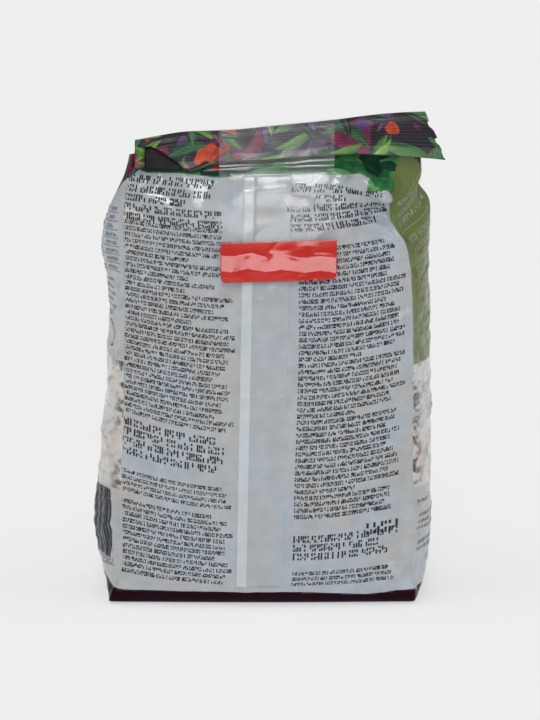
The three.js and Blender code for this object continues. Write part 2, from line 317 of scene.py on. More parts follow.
def uvOf(tree, name):
    return addNode(tree, "ShaderNodeUVMap", uv_map=name).outputs[0]


def markOf(tree, name):
    return addNode(tree, "ShaderNodeAttribute", attribute_name=name).outputs["Fac"]


def axesOf(tree, vector):
    return addNode(tree, "ShaderNodeSeparateXYZ", {0: vector}).outputs


def vectorMath(tree, operation, first, second):
    return addNode(tree, "ShaderNodeVectorMath", {0: first, 1: second}, operation=operation).outputs[0]


def clamped(tree, value):
    return addNode(tree, "ShaderNodeClamp", {0: value}).outputs[0]


def tinted(tree, colour, tint):
    return mixColour(tree, 1.0, colour, tint, "MULTIPLY")


def flatNoise(tree, place, scale, detail=2.0):
    inputs = {"Vector": place, "Scale": scale, "Detail": detail}
    return addNode(tree, "ShaderNodeTexNoise", inputs).outputs[0]


def noiseOf(tree, size, detail=2.0, rough=0.5):
    inputs = {"Vector": objectPlace(tree), "Scale": 1 / (size * mm), "Detail": detail, "Roughness": rough}
    return addNode(tree, "ShaderNodeTexNoise", inputs).outputs[0]


def mottled(tree, size, detail, low, high):
    return mapRange(tree, noiseOf(tree, size, detail), 0.3, 0.7, low, high)


def cellsOf(tree, place, size, randomness, **settings):
    inputs = {"Vector": place, "Scale": 1 / size, "Randomness": randomness}
    return addNode(tree, "ShaderNodeTexVoronoi", inputs, **settings).outputs


def channelsOf(tree, colour):
    return addNode(tree, "ShaderNodeSeparateColor", {0: colour}).outputs


def bumpOf(tree, height, distance, strength=1.0, normal=None):
    inputs = {"Height": height, "Distance": distance * mm, "Strength": strength}
    if normal is not None:
        inputs["Normal"] = normal
    return addNode(tree, "ShaderNodeBump", inputs).outputs[0]


def newMaterial(name, **sockets):
    material = bpy.data.materials.new(name)
    material.use_nodes = True
    shader = material.node_tree.nodes["Principled BSDF"]
    for key, value in sockets.items():
        shader.inputs[key.replace("_", " ")].default_value = value
    return material, material.node_tree, shader


def link(tree, source, shader, socket):
    tree.links.new(source, shader.inputs[socket])


# Folds and creases are rows of (line, width, depth, fading towards the ends). A line is (across, up, across,
# up), where across is x on the back panel and y on a gusset. Positive depths stand out.
slackFolds = {
    "back": [
        ((27.5, 135.5, 40, 129.5), 2.4, 2.2, 0),
        ((30, 126.5, 39, 124), 2.8, -2.6, 0),
        ((-43, 133, -38, 135.5), 2.4, 1.4, 0),
    ],
    "right": [
        ((-17, 133, -20, 119), 2.6, -2.4, 0),
        ((-9, 136, -10, 122), 2.2, 0.4, 0),
        ((6, 124, 2, 106), 5, -2.2, 0),
    ],
}

# Finer creases that only the film shows.
filmCreases = {
    "back": [
        ((23, 136.4, 31, 132.9), 0.8, -0.8, 0.6),  # the crumpled shoulder
        ((31, 132.6, 40, 131.6), 0.8, -1.3, 0.3),
        ((36, 130.2, 40.8, 128.6), 1.3, 1.5, 0.3),
        ((-15, 130.6, 5, 133.3), 2.8, 0.75, 0.5),  # pulled taut up to the strip
        ((3, 133.3, 28, 133.7), 2.8, 0.75, 0.5),
        ((25, 129, 33, 124.6), 1.2, -0.8, 0.8),
        ((22, 133.5, 31, 127.5), 1.0, 0.6, 0.8),
        ((27, 124.6, 40, 118.8), 1.1, 0.7, 0.9),
        ((30, 121.6, 41, 115.5), 1.2, -0.6, 0.9),
        ((-42, 132, -30, 127.5), 1.3, 0.5, 0.9),
        ((-44, 127, -33, 123.5), 1.4, -0.5, 0.9),
        ((-46, 14, -36, 6), 1.1, 0.6, 0.9),  # corners of the base
        ((34, 6, 44, 11.5), 1.0, 0.7, 0.9),
        ((30, 10, 42, 17), 1.3, -0.5, 0.9),
    ],
    "right": [
        ((-1, 8, 1, 128), 1.0, -0.55, 0),  # the gusset's own centre fold
        ((-15.5, 136, -20, 126), 0.8, 0.7, 0.5),  # folds of the slack shoulder
        ((-11, 137, -12.5, 123), 0.8, 0.5, 0.6),
        ((-13.2, 138, -16, 126), 1.2, -1.9, 0.6),
        ((-7, 134, -8, 122), 1.3, -1.2, 0.6),
        ((-21, 40, -6, 53), 1.1, 0.6, 0.9),
        ((-21, 52, -3, 66), 1.2, 0.6, 0.9),
        ((-22, 62, -8, 74), 1.0, 0.5, 0.9),
    ],
    "left": [
        ((1, 8, -1, 126), 1.0, -0.55, 0),
        ((-21, 76, -10, 62), 1.0, 0.6, 0.9),
        ((-22, 64, -6, 48), 1.1, 0.6, 0.9),
        ((-20, 44, -4, 58), 1.0, 0.5, 0.9),
    ],
    "front": [],
}

# Gathers where each wall is creased into the next, and stray creases over the walls.
gathers = {
    "from": 8.0,
    "to": 126,
    "every": (6.5, 10.5),
    "reach": 11,
    "climb": 5.5,
    "width": (1.2, 2.0),
    "depth": (0.38, 0.8),
    "taper": 0.6,
    "seeds": {"back": 31, "right": 32, "front": 33, "left": 34},
}
strayPlan = {
    "back": [
        dict(seed=4, count=26, across=(-40, 40), up=(12, 126), slope=(10, 50), length=(9, 24),
             width=(1.1, 2.4), depth=(0.14, 0.34)),
        dict(seed=9, count=22, across=(18, 42), up=(8, 118), slope=(18, 42), length=(9, 20), width=(1.0, 2.0),
             depth=(0.15, 0.32)),
        dict(seed=15, count=16, across=(-42, -18), up=(6, 118), slope=(-40, -12), length=(8, 18),
             width=(1.0, 2.0), depth=(0.12, 0.3)),
        dict(seed=21, count=14, across=(-40, 42), up=(5, 16), slope=(-14, 14), length=(8, 26),
             width=(0.9, 1.7), depth=(0.12, 0.34)),
    ],
    "right": [
        dict(seed=5, count=40, across=(-20, 16), up=(6, 118), slope=(4, 26), length=(9, 24), width=(0.8, 1.6),
             depth=(0.25, 0.6)),
        dict(seed=11, count=14, across=(-18, 18), up=(8, 112), slope=(-20, 45), length=(7, 16),
             width=(0.8, 1.5), depth=(0.15, 0.4)),
    ],
    "left": [
        dict(seed=6, count=40, across=(-16, 20), up=(6, 118), slope=(-30, -4), length=(9, 24),
             width=(0.8, 1.6), depth=(0.25, 0.55)),
        dict(seed=12, count=14, across=(-18, 18), up=(8, 112), slope=(-10, 40), length=(7, 16),
             width=(0.8, 1.5), depth=(0.15, 0.4)),
    ],
    "front": [
        dict(seed=7, count=60, across=(-42, 42), up=(6, 116), slope=(-50, 50), length=(9, 26),
             width=(1.0, 2.2), depth=(0.15, 0.42)),
    ],
}

wallWidth = {"back": 92, "right": 62, "front": 92, "left": 62}  # for laying the print out flat

# How strongly the lentils press through the film of each wall.
pressed = {"back": 0.21, "right": 0.3, "front": 0.3, "left": 0.3, "size": 5.2, "fadeFrom": 104, "fadeTo": 122}

# The print of each wall as zones, the lowest first. "upTo" is the zone's upper edge, (share across, height).
wallPrint = {
    "back": [
        {
            "ink": "plum",
            "upTo": [(0, 5.3), (0.03, 4.9), (0.2, 4.8), (0.6, 4.6), (0.84, 3.6), (0.93, 4.5), (1, 5.0)],
        },
        {
            "ink": "white",
            "upTo": [
                (0, 136.2), (0.035, 139.4), (0.07, 138.2), (0.2, 137.5), (0.34, 136.4),
                (0.5, 136.1), (0.66, 135.9), (0.78, 135.8), (0.865, 135.6), (0.9, 134.8),
                (0.912, 132.5), (0.98, 132.1), (1, 131.4),
            ],
        },
        {
            "ink": "leaf",
            "upTo": [
                (0, 136.3), (0.035, 139.5), (0.07, 138.3), (0.2, 137.6), (0.34, 136.5),
                (0.44, 137.4), (0.56, 152), (1, 152),
            ],
        },
        {"ink": "foliage", "upTo": [(0, 160), (1, 160)]},
    ],
    "right": [
        {"ink": "plum", "upTo": [(0, 5.0), (0.3, 5.6), (1, 8)]},
        {"ink": "white", "upTo": [(0, 37.6), (0.5, 36.8), (1, 37.4)]},
        {"ink": "milky", "upTo": [(0, 77.2), (0.5, 77.8), (1, 77.2)]},
        {"ink": "olive", "upTo": [(0, 139), (0.5, 136), (1, 124)]},
        {"ink": "foliage", "upTo": [(0, 160), (1, 160)]},
    ],
    "front": [
        {"ink": "plum", "upTo": [(0, 8), (0.25, 11), (0.5, 12), (0.75, 11), (1, 8)]},
        {"ink": "clear", "upTo": [(0, 60), (0.25, 66), (0.5, 68), (0.75, 66), (1, 60)]},
        {"ink": "foliage", "upTo": [(0, 160), (1, 160)]},
    ],
    "left": [
        {"ink": "plum", "upTo": [(0, 8), (0.5, 7.8), (0.75, 7.4), (0.9, 5.6), (0.95, 5.2), (1, 5.3)]},
        {"ink": "white", "upTo": [(0, 37.4), (0.5, 36.8), (1, 37.6)]},
        {"ink": "milky", "upTo": [(0, 77.2), (0.5, 77.8), (1, 78.2)]},
        {"ink": "white", "upTo": [(0, 118), (0.5, 130), (0.8, 134.5), (1, 136.3)]},
        {"ink": "foliage", "upTo": [(0, 160), (1, 160)]},
    ],
}

# Colour of each ink as the film shows it, and how much of what is behind it hides.
inks = {
    "white": {"colour": (0.428, 0.452, 0.472), "cover": 1.0},
    # painted reflection: the side windows' clear film is given a nearly opaque white, standing in for the
    # bright surroundings it reflects at a grazing view
    "milky": {"colour": (0.595, 0.572, 0.548), "cover": 0.96},
    "clear": {"colour": (0.70, 0.68, 0.65), "cover": 0.3},
    "olive": {"colour": (0.120, 0.160, 0.036), "cover": 1.0},
    "plum": {"colour": (0.018, 0.004, 0.010), "cover": 1.0},
    "leaf": {"colour": (0.03, 0.15, 0.045), "cover": 1.0},
    "foliage": {"colour": (0.03, 0.022, 0.032), "cover": 1.0},
}


# Sharp folds of the slack film that is crumpled up under the right end of the folded top.
pocketFolds = [
    ((37.5, 132.8, 24, 137.0), 1.9, 2.6, 0.4),
    ((36, 134.4, 27, 138.6), 1.1, -2.2, 0.5),
    ((38.4, 133.4, 34, 138.8), 1.3, 2.4, 0.3),
    ((36.8, 132.2, 27.5, 133.8), 1.2, 2.0, 0.5),
    ((32.5, 134.2, 21.5, 136.0), 1.2, -1.7, 0.5),
    ((28, 135.8, 21, 138.4), 1.2, 1.7, 0.5),
    ((31, 137.4, 37, 136.0), 0.8, -1.4, 0.5),
    ((24, 133.9, 30, 136.4), 0.9, 1.1, 0.5),
]


def edgeGathers(edgeAt, inward, seed):
    draw = np.random.default_rng(seed)
    made = []
    z = gathers["from"]
    while z < gathers["to"]:
        edge = float(edgeAt(z))
        reach = gathers["reach"] * draw.uniform(0.7, 1.2)
        line = (edge, z, edge + inward * reach, z - gathers["climb"] * draw.uniform(0.6, 1.3))
        width = draw.uniform(*gathers["width"])
        made.append((line, width, draw.choice([-1, 1]) * draw.uniform(*gathers["depth"]), gathers["taper"]))
        z += draw.uniform(*gathers["every"])
    return made


def wallCreases(wall):
    made = list(filmCreases[wall])
    for plan in strayPlan[wall]:
        made += strayCreases(**plan)
    low, high = (leftEdge, rightEdge) if wall in ("back", "front") else (backDepth, frontDepth)
    seed = gathers["seeds"][wall]
    return made + edgeGathers(low, 1, seed) + edgeGathers(high, -1, seed + 40)


def shapeWalls(z, shares):
    left, right, back, front = leftEdge(z), rightEdge(z), backDepth(z), frontDepth(z)
    x = {"back": left + (right - left) * shares["back"], "front": right + (left - right) * shares["front"]}
    y = {"right": back + (front - back) * shares["right"], "left": front + (back - front) * shares["left"]}
    y["back"] = back - backBulge(z) * crown(shares["back"]) - creaseRelief(slackFolds["back"], x["back"], z)
    y["front"] = front + frontBulge(z) * crown(shares["front"])
    x["right"] = right + (rightOutline(z) - right) * crown(shares["right"])
    x["right"] = x["right"] + creaseRelief(slackFolds["right"], y["right"], z)
    x["left"] = left + (leftOutline(z) - left) * crown(shares["left"])
    return x, y


def cornerRidges():
    rise = []
    for wall, count in filmMesh["columns"].items():
        away = np.minimum(np.arange(count), count - np.arange(count)) * wallWidth[wall] / count
        rise.append(filmMesh["cornerRidge"] * np.exp(-((away / filmMesh["ridgeWidth"]) ** 2)))
    return np.concatenate(rise)[None]


def curlBase(ring, z):
    rise = np.clip(bag["baseRound"] - z, 0, None)
    inset = bag["baseRound"] - np.sqrt(bag["baseRound"] ** 2 - rise**2)
    reach = np.maximum(np.abs(ring), bag["baseRound"] * 3)
    ring[..., 0] *= 1 - 0.2 * inset / reach[..., 0]
    ring[..., 1] *= 1 - inset / reach[..., 1]
    # the back panel's foot is tucked under in the middle
    tucked = filmMesh["footTuck"] * (1 - blendStep(z, 0.5, 6)) * (ring[..., 1] < 0)
    ring[..., 1] += tucked * np.clip(1 - (ring[..., 0] / (wallWidth["back"] / 2)) ** 4, 0, 1)


def filmRelief(x, y, z, points):
    # how far creases, slack and lentils push the film out at each point
    creased, press = [], []
    for wall in filmMesh["columns"]:
        across = x[wall] if wall in ("back", "front") else y[wall]
        pushed = pressed[wall] * (1 - blendStep(z, pressed["fadeFrom"], pressed["fadeTo"]))
        creased.append(creaseRelief(wallCreases(wall), across, z, 1.6))
        press.append(pushed * np.ones_like(across))
    slack = lumps(points, 17, 3) * 0.5 + lumps(points, 8, 5) * 0.22
    grains = np.abs(lumps(points, pressed["size"], 8)) * 1.6
    calm = (1 - blendStep(z, 133, 141)) * blendStep(z, 0, 5)
    moved = (np.concatenate(creased, 1) + slack + np.concatenate(press, 1) * grains) * calm
    moved = moved + cornerRidges() * blendStep(z, 5, 12) * (1 - blendStep(z, 122, 130))
    moved[:, : filmMesh["columns"]["back"]] += creaseRelief(pocketFolds, x["back"], z, 1.0)
    return moved


def makeSkin():
    z = np.concatenate([np.linspace(*run) for run in filmMesh["rows"]])[:, None]
    shares = {wall: np.arange(count) / count for wall, count in filmMesh["columns"].items()}
    x, y = shapeWalls(z, shares)
    walls = list(filmMesh["columns"])
    ring = np.stack([np.concatenate([side[wall] for wall in walls], 1) for side in (x, y)], -1)
    for _ in range(filmMesh["cornerPasses"]):
        ring = (np.roll(ring, 1, 1) + 2 * ring + np.roll(ring, -1, 1)) / 4
    curlBase(ring, z)
    points = np.dstack([ring, z + foldLean(ring[..., 0], z)])
    points = points + gridNormals(points, True) * filmRelief(x, y, z, points)[..., None]
    return z[:, 0], points


filmHeights, skin = makeSkin()
skinNormals = gridNormals(skin, True)
wallStart = dict(zip(filmMesh["columns"], np.cumsum([0, *filmMesh["columns"].values()])))
print("film shaped on a grid of", skin.shape[:2])


def onSkin(wall, s, z, lift=0.0):
    s, z = np.broadcast_arrays(np.asarray(s, float), np.asarray(z, float))
    row = np.interp(z, filmHeights, np.arange(len(filmHeights)))
    column = wallStart[wall] + np.clip(s, 0, 1) * filmMesh["columns"][wall]
    i = np.clip(row.astype(int), 0, len(filmHeights) - 2)
    j = column.astype(int)
    u, v = (column - j)[..., None], (row - i)[..., None]
    j, k = j % skin.shape[1], (j + 1) % skin.shape[1]

    def between(grid):
        below = grid[i, j] * (1 - u) + grid[i, k] * u
        above = grid[i + 1, j] * (1 - u) + grid[i + 1, k] * u
        return below * (1 - v) + above * v

    return between(skin) + between(skinNormals) * np.asarray(lift)[..., None]


def shareOfBack(x, z):
    return (x - leftEdge(z)) / (rightEdge(z) - leftEdge(z))


def zoneCount(wall, s, z):
    # 0 in the middle of the lowest zone, 1 in the next and so on, crossing each edge at a half
    value = np.zeros(np.broadcast(s, z).shape)
    for zone in wallPrint[wall][:-1]:
        edge = np.interp(s, *np.array(zone["upTo"], float).T)
        value = value + 0.5 + 0.5 * np.clip((z - edge) / 1.5, -1, 1)
    return value


def filmKinds(wall, value):
    # for each face of the wall: 0 printed film, 1 see-through, 2 inside a dark zone
    kind = np.zeros(np.array(value.shape) - 1, int)
    corners = cellCorners(value)
    low, high = corners.min(2), corners.max(2)
    for k, zone in enumerate(wallPrint[wall]):
        if zone["ink"] in ("clear", "milky"):
            kind[(high > k - 0.5) & (low < k + 0.5)] = 1
        if zone["ink"] in ("plum", "foliage", "leaf"):
            kind[(high < k + 0.5) & (low > k - 0.5)] = 2
    return kind


def makeFilm():
    base = [skin[0]]
    for share in filmMesh["baseRings"]:
        ring = skin[0] * (1 - share)
        ring[:, 2] = filmMesh["baseLift"] * math.sin(math.pi * min(1, share * 1.5) / 2)
        base.append(ring)
    points = np.concatenate([np.array(base[:0:-1]), skin])
    rows, columns = points.shape[:2]
    top = (rows - 1) * columns
    film = makePiece(
        "film_skin", points, gridFaces(rows, columns, True),
        [range(columns - 1, -1, -1), range(top, top + columns)],
    )
    up = np.r_[-np.arange(len(base) - 1, 0, -1) * 6.0, filmHeights][:, None]
    zones, sheet, start, kinds = [], [], 0, []
    for wall, count in filmMesh["columns"].items():
        s = np.linspace(0, 1, count + 1)[None, :]
        value = zoneCount(wall, s, np.maximum(up, 0))
        value[: len(base)] = 0
        kinds.append(filmKinds(wall, value))
        zones.append(np.dstack([(value + 0.5) / len(wallPrint[wall]), value * 0]))
        sheet.append(np.dstack([start + s * wallWidth[wall] + up * 0, up + s * 0]))
        start += wallWidth[wall]
    for name, parts in (("zone", zones), ("sheet", sheet)):
        setUv(film, name, np.concatenate([cellCorners(part) for part in parts], 1).reshape(-1, 2))
    index = np.concatenate([np.full(n, 3 * i) for i, n in enumerate(filmMesh["columns"].values())])
    slots = np.r_[(index[None, :] + np.concatenate(kinds, 1)).ravel(), 2, 2]
    for wall in filmMesh["columns"]:
        for kind in filmGloss:
            film.data.materials.append(filmMaterial(wall, kind))
    film.data.polygons.foreach_set("material_index", slots.astype(np.int32))
    return film


# Leaves and petals strewn over the dark ground of the print. Sizes in millimetres.
foliageLook = {
    "ground": [(0.35, (0.009, 0.008, 0.012)), (0.7, (0.020, 0.013, 0.024))],
    "petals": [  # soft patches under the leaves: size, where the noise is taken, how rare, colour
        (15, (5.0, 1.0), 0.55, (0.17, 0.012, 0.06)),
        (13, (31.0, 17.0), 0.59, (0.085, 0.035, 0.13)),
        (14, (62.0, 40.0), 0.61, (0.50, 0.055, 0.018)),
    ],
    "layers": [
        {
            "cell": 17, "shift": (3.0, 8.0), "long": 8.0, "wide": 2.5,
            "colours": [(0.020, 0.09, 0.035), (0.012, 0.012, 0.02), (0.03, 0.13, 0.04), (0.18, 0.012, 0.07)],
        },
        {
            "cell": 14, "shift": (40.0, 2.0), "long": 6.6, "wide": 2.0,
            "colours": [(0.035, 0.15, 0.04), (0.014, 0.06, 0.03), (0.06, 0.20, 0.04), (0.012, 0.012, 0.02)],
        },
        {
            "cell": 12, "shift": (27.0, 33.0), "long": 5.6, "wide": 1.5,
            "colours": [(0.07, 0.22, 0.03), (0.10, 0.04, 0.15), (0.025, 0.10, 0.05), (0.11, 0.28, 0.04)],
        },
        {
            "cell": 15, "shift": (11.0, 70.0), "long": 7.0, "wide": 1.8,
            "colours": [(0.02, 0.10, 0.045), (0.10, 0.27, 0.04), (0.20, 0.014, 0.08), (0.05, 0.18, 0.04)],
        },
        {
            "cell": 12, "shift": (53.0, 21.0), "long": 5.2, "wide": 1.3,
            "colours": [(0.17, 0.36, 0.06), (0.03, 0.13, 0.05), (0.012, 0.012, 0.018), (0.08, 0.24, 0.04)],
        },
    ],
}


def leafLayer(tree, sheet, layer, under):
    moved = vectorMath(tree, "ADD", sheet, (*layer["shift"], 0))
    cells = cellsOf(tree, moved, layer["cell"], 0.55, voronoi_dimensions="2D")
    local = vectorMath(tree, "SUBTRACT", moved, cells["Position"])
    chance = channelsOf(tree, cells["Color"])
    turn = {"Vector": local, "Angle": calc(tree, "MULTIPLY", chance[0], math.tau)}
    turned = addNode(tree, "ShaderNodeVectorRotate", turn, rotation_type="Z_AXIS").outputs[0]
    flat = axesOf(tree, turned)
    along = calc(tree, "DIVIDE", flat[0], layer["long"])
    bow = calc(tree, "MULTIPLY", calc(tree, "MULTIPLY", along, along), layer["wide"])
    across = calc(tree, "SUBTRACT", flat[1], calc(tree, "MULTIPLY", bow, 0.8))
    half = calc(tree, "SUBTRACT", layer["wide"], bow)
    edge = calc(tree, "SUBTRACT", half, calc(tree, "ABSOLUTE", across))
    inside = mapRange(tree, edge, 0.0, 0.15)
    count = len(layer["colours"])
    stops = [(i / count, colour) for i, colour in enumerate(layer["colours"])]
    body = rampOf(tree, chance[1], stops, "CONSTANT")
    body = tinted(tree, body, mapRange(tree, across, -0.1, 0.1, 0.6, 1.1))  # one half is in shade
    streaks = flatNoise(tree, vectorMath(tree, "MULTIPLY", turned, (0.12, 1.1, 1.0)), 1.2)
    body = tinted(tree, body, mapRange(tree, streaks, 0.35, 0.65, 0.65, 1.4))
    vein = mapRange(tree, calc(tree, "ABSOLUTE", across), 0.08, 0.22, 0.35, 0.0)
    body = mixColour(tree, vein, body, rgba((0.16, 0.24, 0.09)))
    return mixColour(tree, inside, under, body)


def foliageColour(tree):
    sheet = uvOf(tree, "sheet")
    colour = rampOf(tree, noiseOf(tree, 9), foliageLook["ground"])
    for size, shift, rare, petal in foliageLook["petals"]:
        patch = flatNoise(tree, vectorMath(tree, "ADD", sheet, (*shift, 0)), 1 / size)
        colour = mixColour(tree, mapRange(tree, patch, rare, rare + 0.01), colour, rgba(petal))
    colour = tinted(tree, colour, mottled(tree, 2.5, 3, 0.65, 1.3))
    for layer in foliageLook["layers"]:
        colour = leafLayer(tree, sheet, layer, colour)
    return colour


def slackAt(tree, low):
    # 1 over most of the bag, down to "low" where the film is pulled taut towards the neck
    return mapRange(tree, axesOf(tree, objectPlace(tree))[2], 121 * mm, 130 * mm, 1.0, low)


filmGloss = {
    "film": {"IOR": 1.5},
    "window": {"IOR": 1.5, "Coat_Weight": 0.5, "Coat_Roughness": 0.15},
    "dark": {"IOR": 1.35, "Specular_IOR_Level": 0.04},
}


def leafColourWithPaintedFacets(tree):
    # the crumpled pocket shows one big leaf's greens; its cells of lighter and darker green are partly the
    # print's tones and partly painted light and shade standing in for the crumple's facets
    turned = {"Vector": objectPlace(tree), "Rotation": (0, math.radians(40), 0), "Scale": (0.38, 1, 1)}
    blades = addNode(tree, "ShaderNodeMapping", turned).outputs[0]
    chance = channelsOf(tree, cellsOf(tree, blades, 3.0 * mm, 1.0)["Color"])[0]
    greensAndFacetShade = [
        (0.0, (0.020, 0.105, 0.045)), (0.2, (0.055, 0.210, 0.075)), (0.4, (0.030, 0.145, 0.055)),
        (0.6, (0.110, 0.300, 0.110)), (0.8, (0.045, 0.180, 0.065)), (0.92, (0.010, 0.045, 0.024)),
    ]
    colour = rampOf(tree, chance, greensAndFacetShade, "CONSTANT")
    return tinted(tree, colour, mottled(tree, 3, 3, 0.75, 1.25))


# How the windows' painted white reflection clears where the film lies on the lentils, mostly beside the back
# panel, and the painted highlight lines along crease-like lines.
windowGlareClearing = {
    "spots": (0.1, 0.25, 0),  # how fine the clear spots are around the bag and up it
    "touching": (0.46, 0.6),
    "beside": (1.5, 8.0),  # millimetres from the edge of the back panel
    "clearing": {"back": 0.85, "right": 0.85, "left": 0.85, "front": 0.2},
    "sheetEdge": {"back": 200.0, "right": 92.0, "left": 308.0, "front": 200.0},  # each wall's clear side
    "creases": 0.4,  # painted highlight: how much whiter the film is painted along crease-like lines
    "bigWindow": 0.45,  # the front window is the clearest
}


def windowAlpha(tree, wall, cover):
    sheet = uvOf(tree, "sheet")
    away = calc(tree, "ABSOLUTE", calc(tree, "SUBTRACT", axesOf(tree, sheet)[0], windowGlareClearing["sheetEdge"][wall]))
    beside = mapRange(tree, away, *windowGlareClearing["beside"], 1.0, 0.2)
    spots = vectorMath(tree, "MULTIPLY", sheet, windowGlareClearing["spots"])
    touch = calc(tree, "MULTIPLY", mapRange(tree, flatNoise(tree, spots, 1.0), *windowGlareClearing["touching"]), beside)
    alpha = calc(tree, "SUBTRACT", cover, calc(tree, "MULTIPLY", touch, windowGlareClearing["clearing"][wall]))
    if wall == "front":
        alpha = calc(tree, "MULTIPLY", alpha, windowGlareClearing["bigWindow"])
    else:
        # painted highlight: the film turns whiter along thin crease-like noise lines
        line = calc(tree, "ABSOLUTE", calc(tree, "SUBTRACT", flatNoise(tree, spots, 0.55, 3.0), 0.5))
        alpha = calc(tree, "ADD", alpha, mapRange(tree, line, 0.0, 0.03, windowGlareClearing["creases"], 0))
    return clamped(tree, alpha)


# A blank name plate on the hidden front, in sheet millimetres.
plate = {
    "centre": (200, 91),
    "half": (27, 14),
    "colour": (0.60, 0.58, 0.46),
    "border": (0.19, 0.25, 0.07),
    "bars": [(17, 95, 2.6), (12, 90, 1.3), (18, 85.5, 0.7), (15, 83.5, 0.7)],  # half width, height, stroke
}


def withPlate(tree, colour):
    axes = axesOf(tree, uvOf(tree, "sheet"))
    sides = []
    for axis in (0, 1):
        away = calc(tree, "SUBTRACT", axes[axis], plate["centre"][axis])
        away = calc(tree, "DIVIDE", away, plate["half"][axis])
        sides.append(calc(tree, "POWER", calc(tree, "ABSOLUTE", away), 5.0))  # rounds the plate's corners
    edge = calc(tree, "ADD", *sides)
    fill = mixColour(tree, calc(tree, "LESS_THAN", edge, 0.72), rgba(plate["border"]), rgba(plate["colour"]))
    return mixColour(tree, calc(tree, "LESS_THAN", edge, 1.0), colour, fill)


def filmMaterial(wall, kind):
    material, tree, shader = newMaterial(kind + "_" + wall, **filmGloss[kind])
    zone = axesOf(tree, uvOf(tree, "zone"))[0]

    def zoneRamp(valueOf):
        zones = wallPrint[wall]
        stops = [(i / len(zones), valueOf(each["ink"])) for i, each in enumerate(zones)]
        return rampOf(tree, zone, stops, "CONSTANT")

    def only(ink):
        return zoneRamp(lambda each: (float(each == ink),) * 3)

    # faint warm patches where lentils lie against the film, and cooler ones where it stands off
    patches = rampOf(tree, noiseOf(tree, 19, 3), [(0.36, (1.0, 0.94, 0.89)), (0.60, (0.93, 0.98, 1.035))])
    colour = tinted(tree, zoneRamp(lambda ink: inks[ink]["colour"]), patches)
    colour = tinted(tree, colour, mottled(tree, 5, 2, 0.91, 1.07))
    colour = mixColour(tree, only("foliage"), colour, foliageColour(tree))
    if wall == "front":
        colour = withPlate(tree, colour)
    if wall == "back":
        colour = mixColour(tree, only("leaf"), colour, leafColourWithPaintedFacets(tree))
    link(tree, colour, shader, "Base Color")
    if kind == "window":
        cover = zoneRamp(lambda ink: (inks[ink]["cover"],) * 3)
        link(tree, windowAlpha(tree, wall, cover), shader, "Alpha")
    rough = mottled(tree, 12, 4, 0.2, 0.34)
    link(tree, calc(tree, "MULTIPLY", rough, slackAt(tree, 0.45)), shader, "Roughness")
    ripples = bumpOf(tree, calc(tree, "MULTIPLY", noiseOf(tree, 3.2, 3), slackAt(tree, 0.3)), 0.3, 0.55)
    link(tree, bumpOf(tree, noiseOf(tree, 0.8, 2), 0.03, 0.35, ripples), shader, "Normal")
    return material


film = makeFilm()
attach(film, "root")
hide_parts("bag")
print("film body made")


# The lentils that lie against the film, and the mass behind them.
lentils = {
    "behind": {"right": (35, 81), "front": (8, 72), "left": (35, 81)},  # heights of the windows
    "layers": (0.5, 2.4),  # how far the two outer layers lie below the film
    "across": 4.9,  # spacing
    "up": 4.3,
    "jitter": 0.9,
    "radius": (2.3, 3.1),
    "flatness": (0.38, 0.5),  # half the thickness, as a share of the radius
    "tilt": 32,
    "clear": 0.8,  # kept between a lentil and the next wall's film
    "sides": 12,
    "rings": [(0.0, 1.0), (0.6, 0.86), (0.92, 0.42)],  # (radius, height) of the rounded half profile
    "oval": (0.93, 1.05),
    "seed": 17,
    "tones": [
        (0.0, (0.22, 0.20, 0.09)), (0.3, (0.32, 0.25, 0.13)), (0.55, (0.26, 0.235, 0.10)),
        (0.8, (0.34, 0.22, 0.13)), (1.0, (0.19, 0.105, 0.07)),
    ],
}


def lentilForm():
    turn = np.arange(lentils["sides"]) * math.tau / lentils["sides"]
    circle = np.stack([np.cos(turn), np.sin(turn)], -1)
    profile = lentils["rings"][1:] + [(1.0, 0.0)] + [(r, -h) for r, h in lentils["rings"][:0:-1]]
    points = [np.array([[0, 0, 1.0]])]
    points += [np.c_[circle * r, np.full(lentils["sides"], h)] for r, h in profile]
    points.append(np.array([[0, 0, -1.0]]))
    n = lentils["sides"]
    faces = [(0, 1 + i, 1 + (i + 1) % n) for i in range(n)]
    for ring in range(len(profile) - 1):
        a, b = 1 + ring * n, 1 + (ring + 1) * n
        for i in range(n):
            j = (i + 1) % n
            faces += [(a + i, b + i, b + j), (a + i, b + j, a + j)]
    last = 1 + (len(profile) - 1) * n
    faces += [(last + i, last + n, last + (i + 1) % n) for i in range(n)]
    return np.concatenate(points), np.array(faces)


def lentilPlaces(draw):
    # points on the film, the way out from each, and how deep below it each lentil lies
    places, normals, depths = [], [], []
    for name, (low, high) in lentils["behind"].items():
        count = int(wallWidth[name] / lentils["across"])
        for depth in lentils["layers"]:
            for level, z in enumerate(np.arange(low, high, lentils["up"])):
                s = (np.arange(count) + 0.25 + 0.5 * ((level + (depth > 2)) % 2)) / count
                s = s + draw.uniform(-1, 1, count) * lentils["jitter"] / wallWidth[name]
                up = z + draw.uniform(-1, 1, count) * lentils["jitter"]
                surface = onSkin(name, s, up)
                places.append(surface)
                normals.append(onSkin(name, s, up, 1.0) - surface)
                depths.append(depth + draw.uniform(0, 0.5, count))
    return np.concatenate(places), np.concatenate(normals), np.concatenate(depths)


def clearCorners(centres, normals, radius):
    # the lentils keep clear of the film round each corner
    z, room = centres[:, 2], radius + lentils["clear"]
    inWidth = np.clip(centres[:, 0], leftEdge(z) + room, rightEdge(z) - room)
    inDepth = np.clip(centres[:, 1], backDepth(z) + room, frontDepth(z) - room)
    onFront = normals[:, 1] > 0.7
    onSide = np.abs(normals[:, 0]) > 0.7
    centres[:, 0] = np.where(onFront, inWidth, centres[:, 0])
    centres[:, 1] = np.where(onSide, inDepth, centres[:, 1])


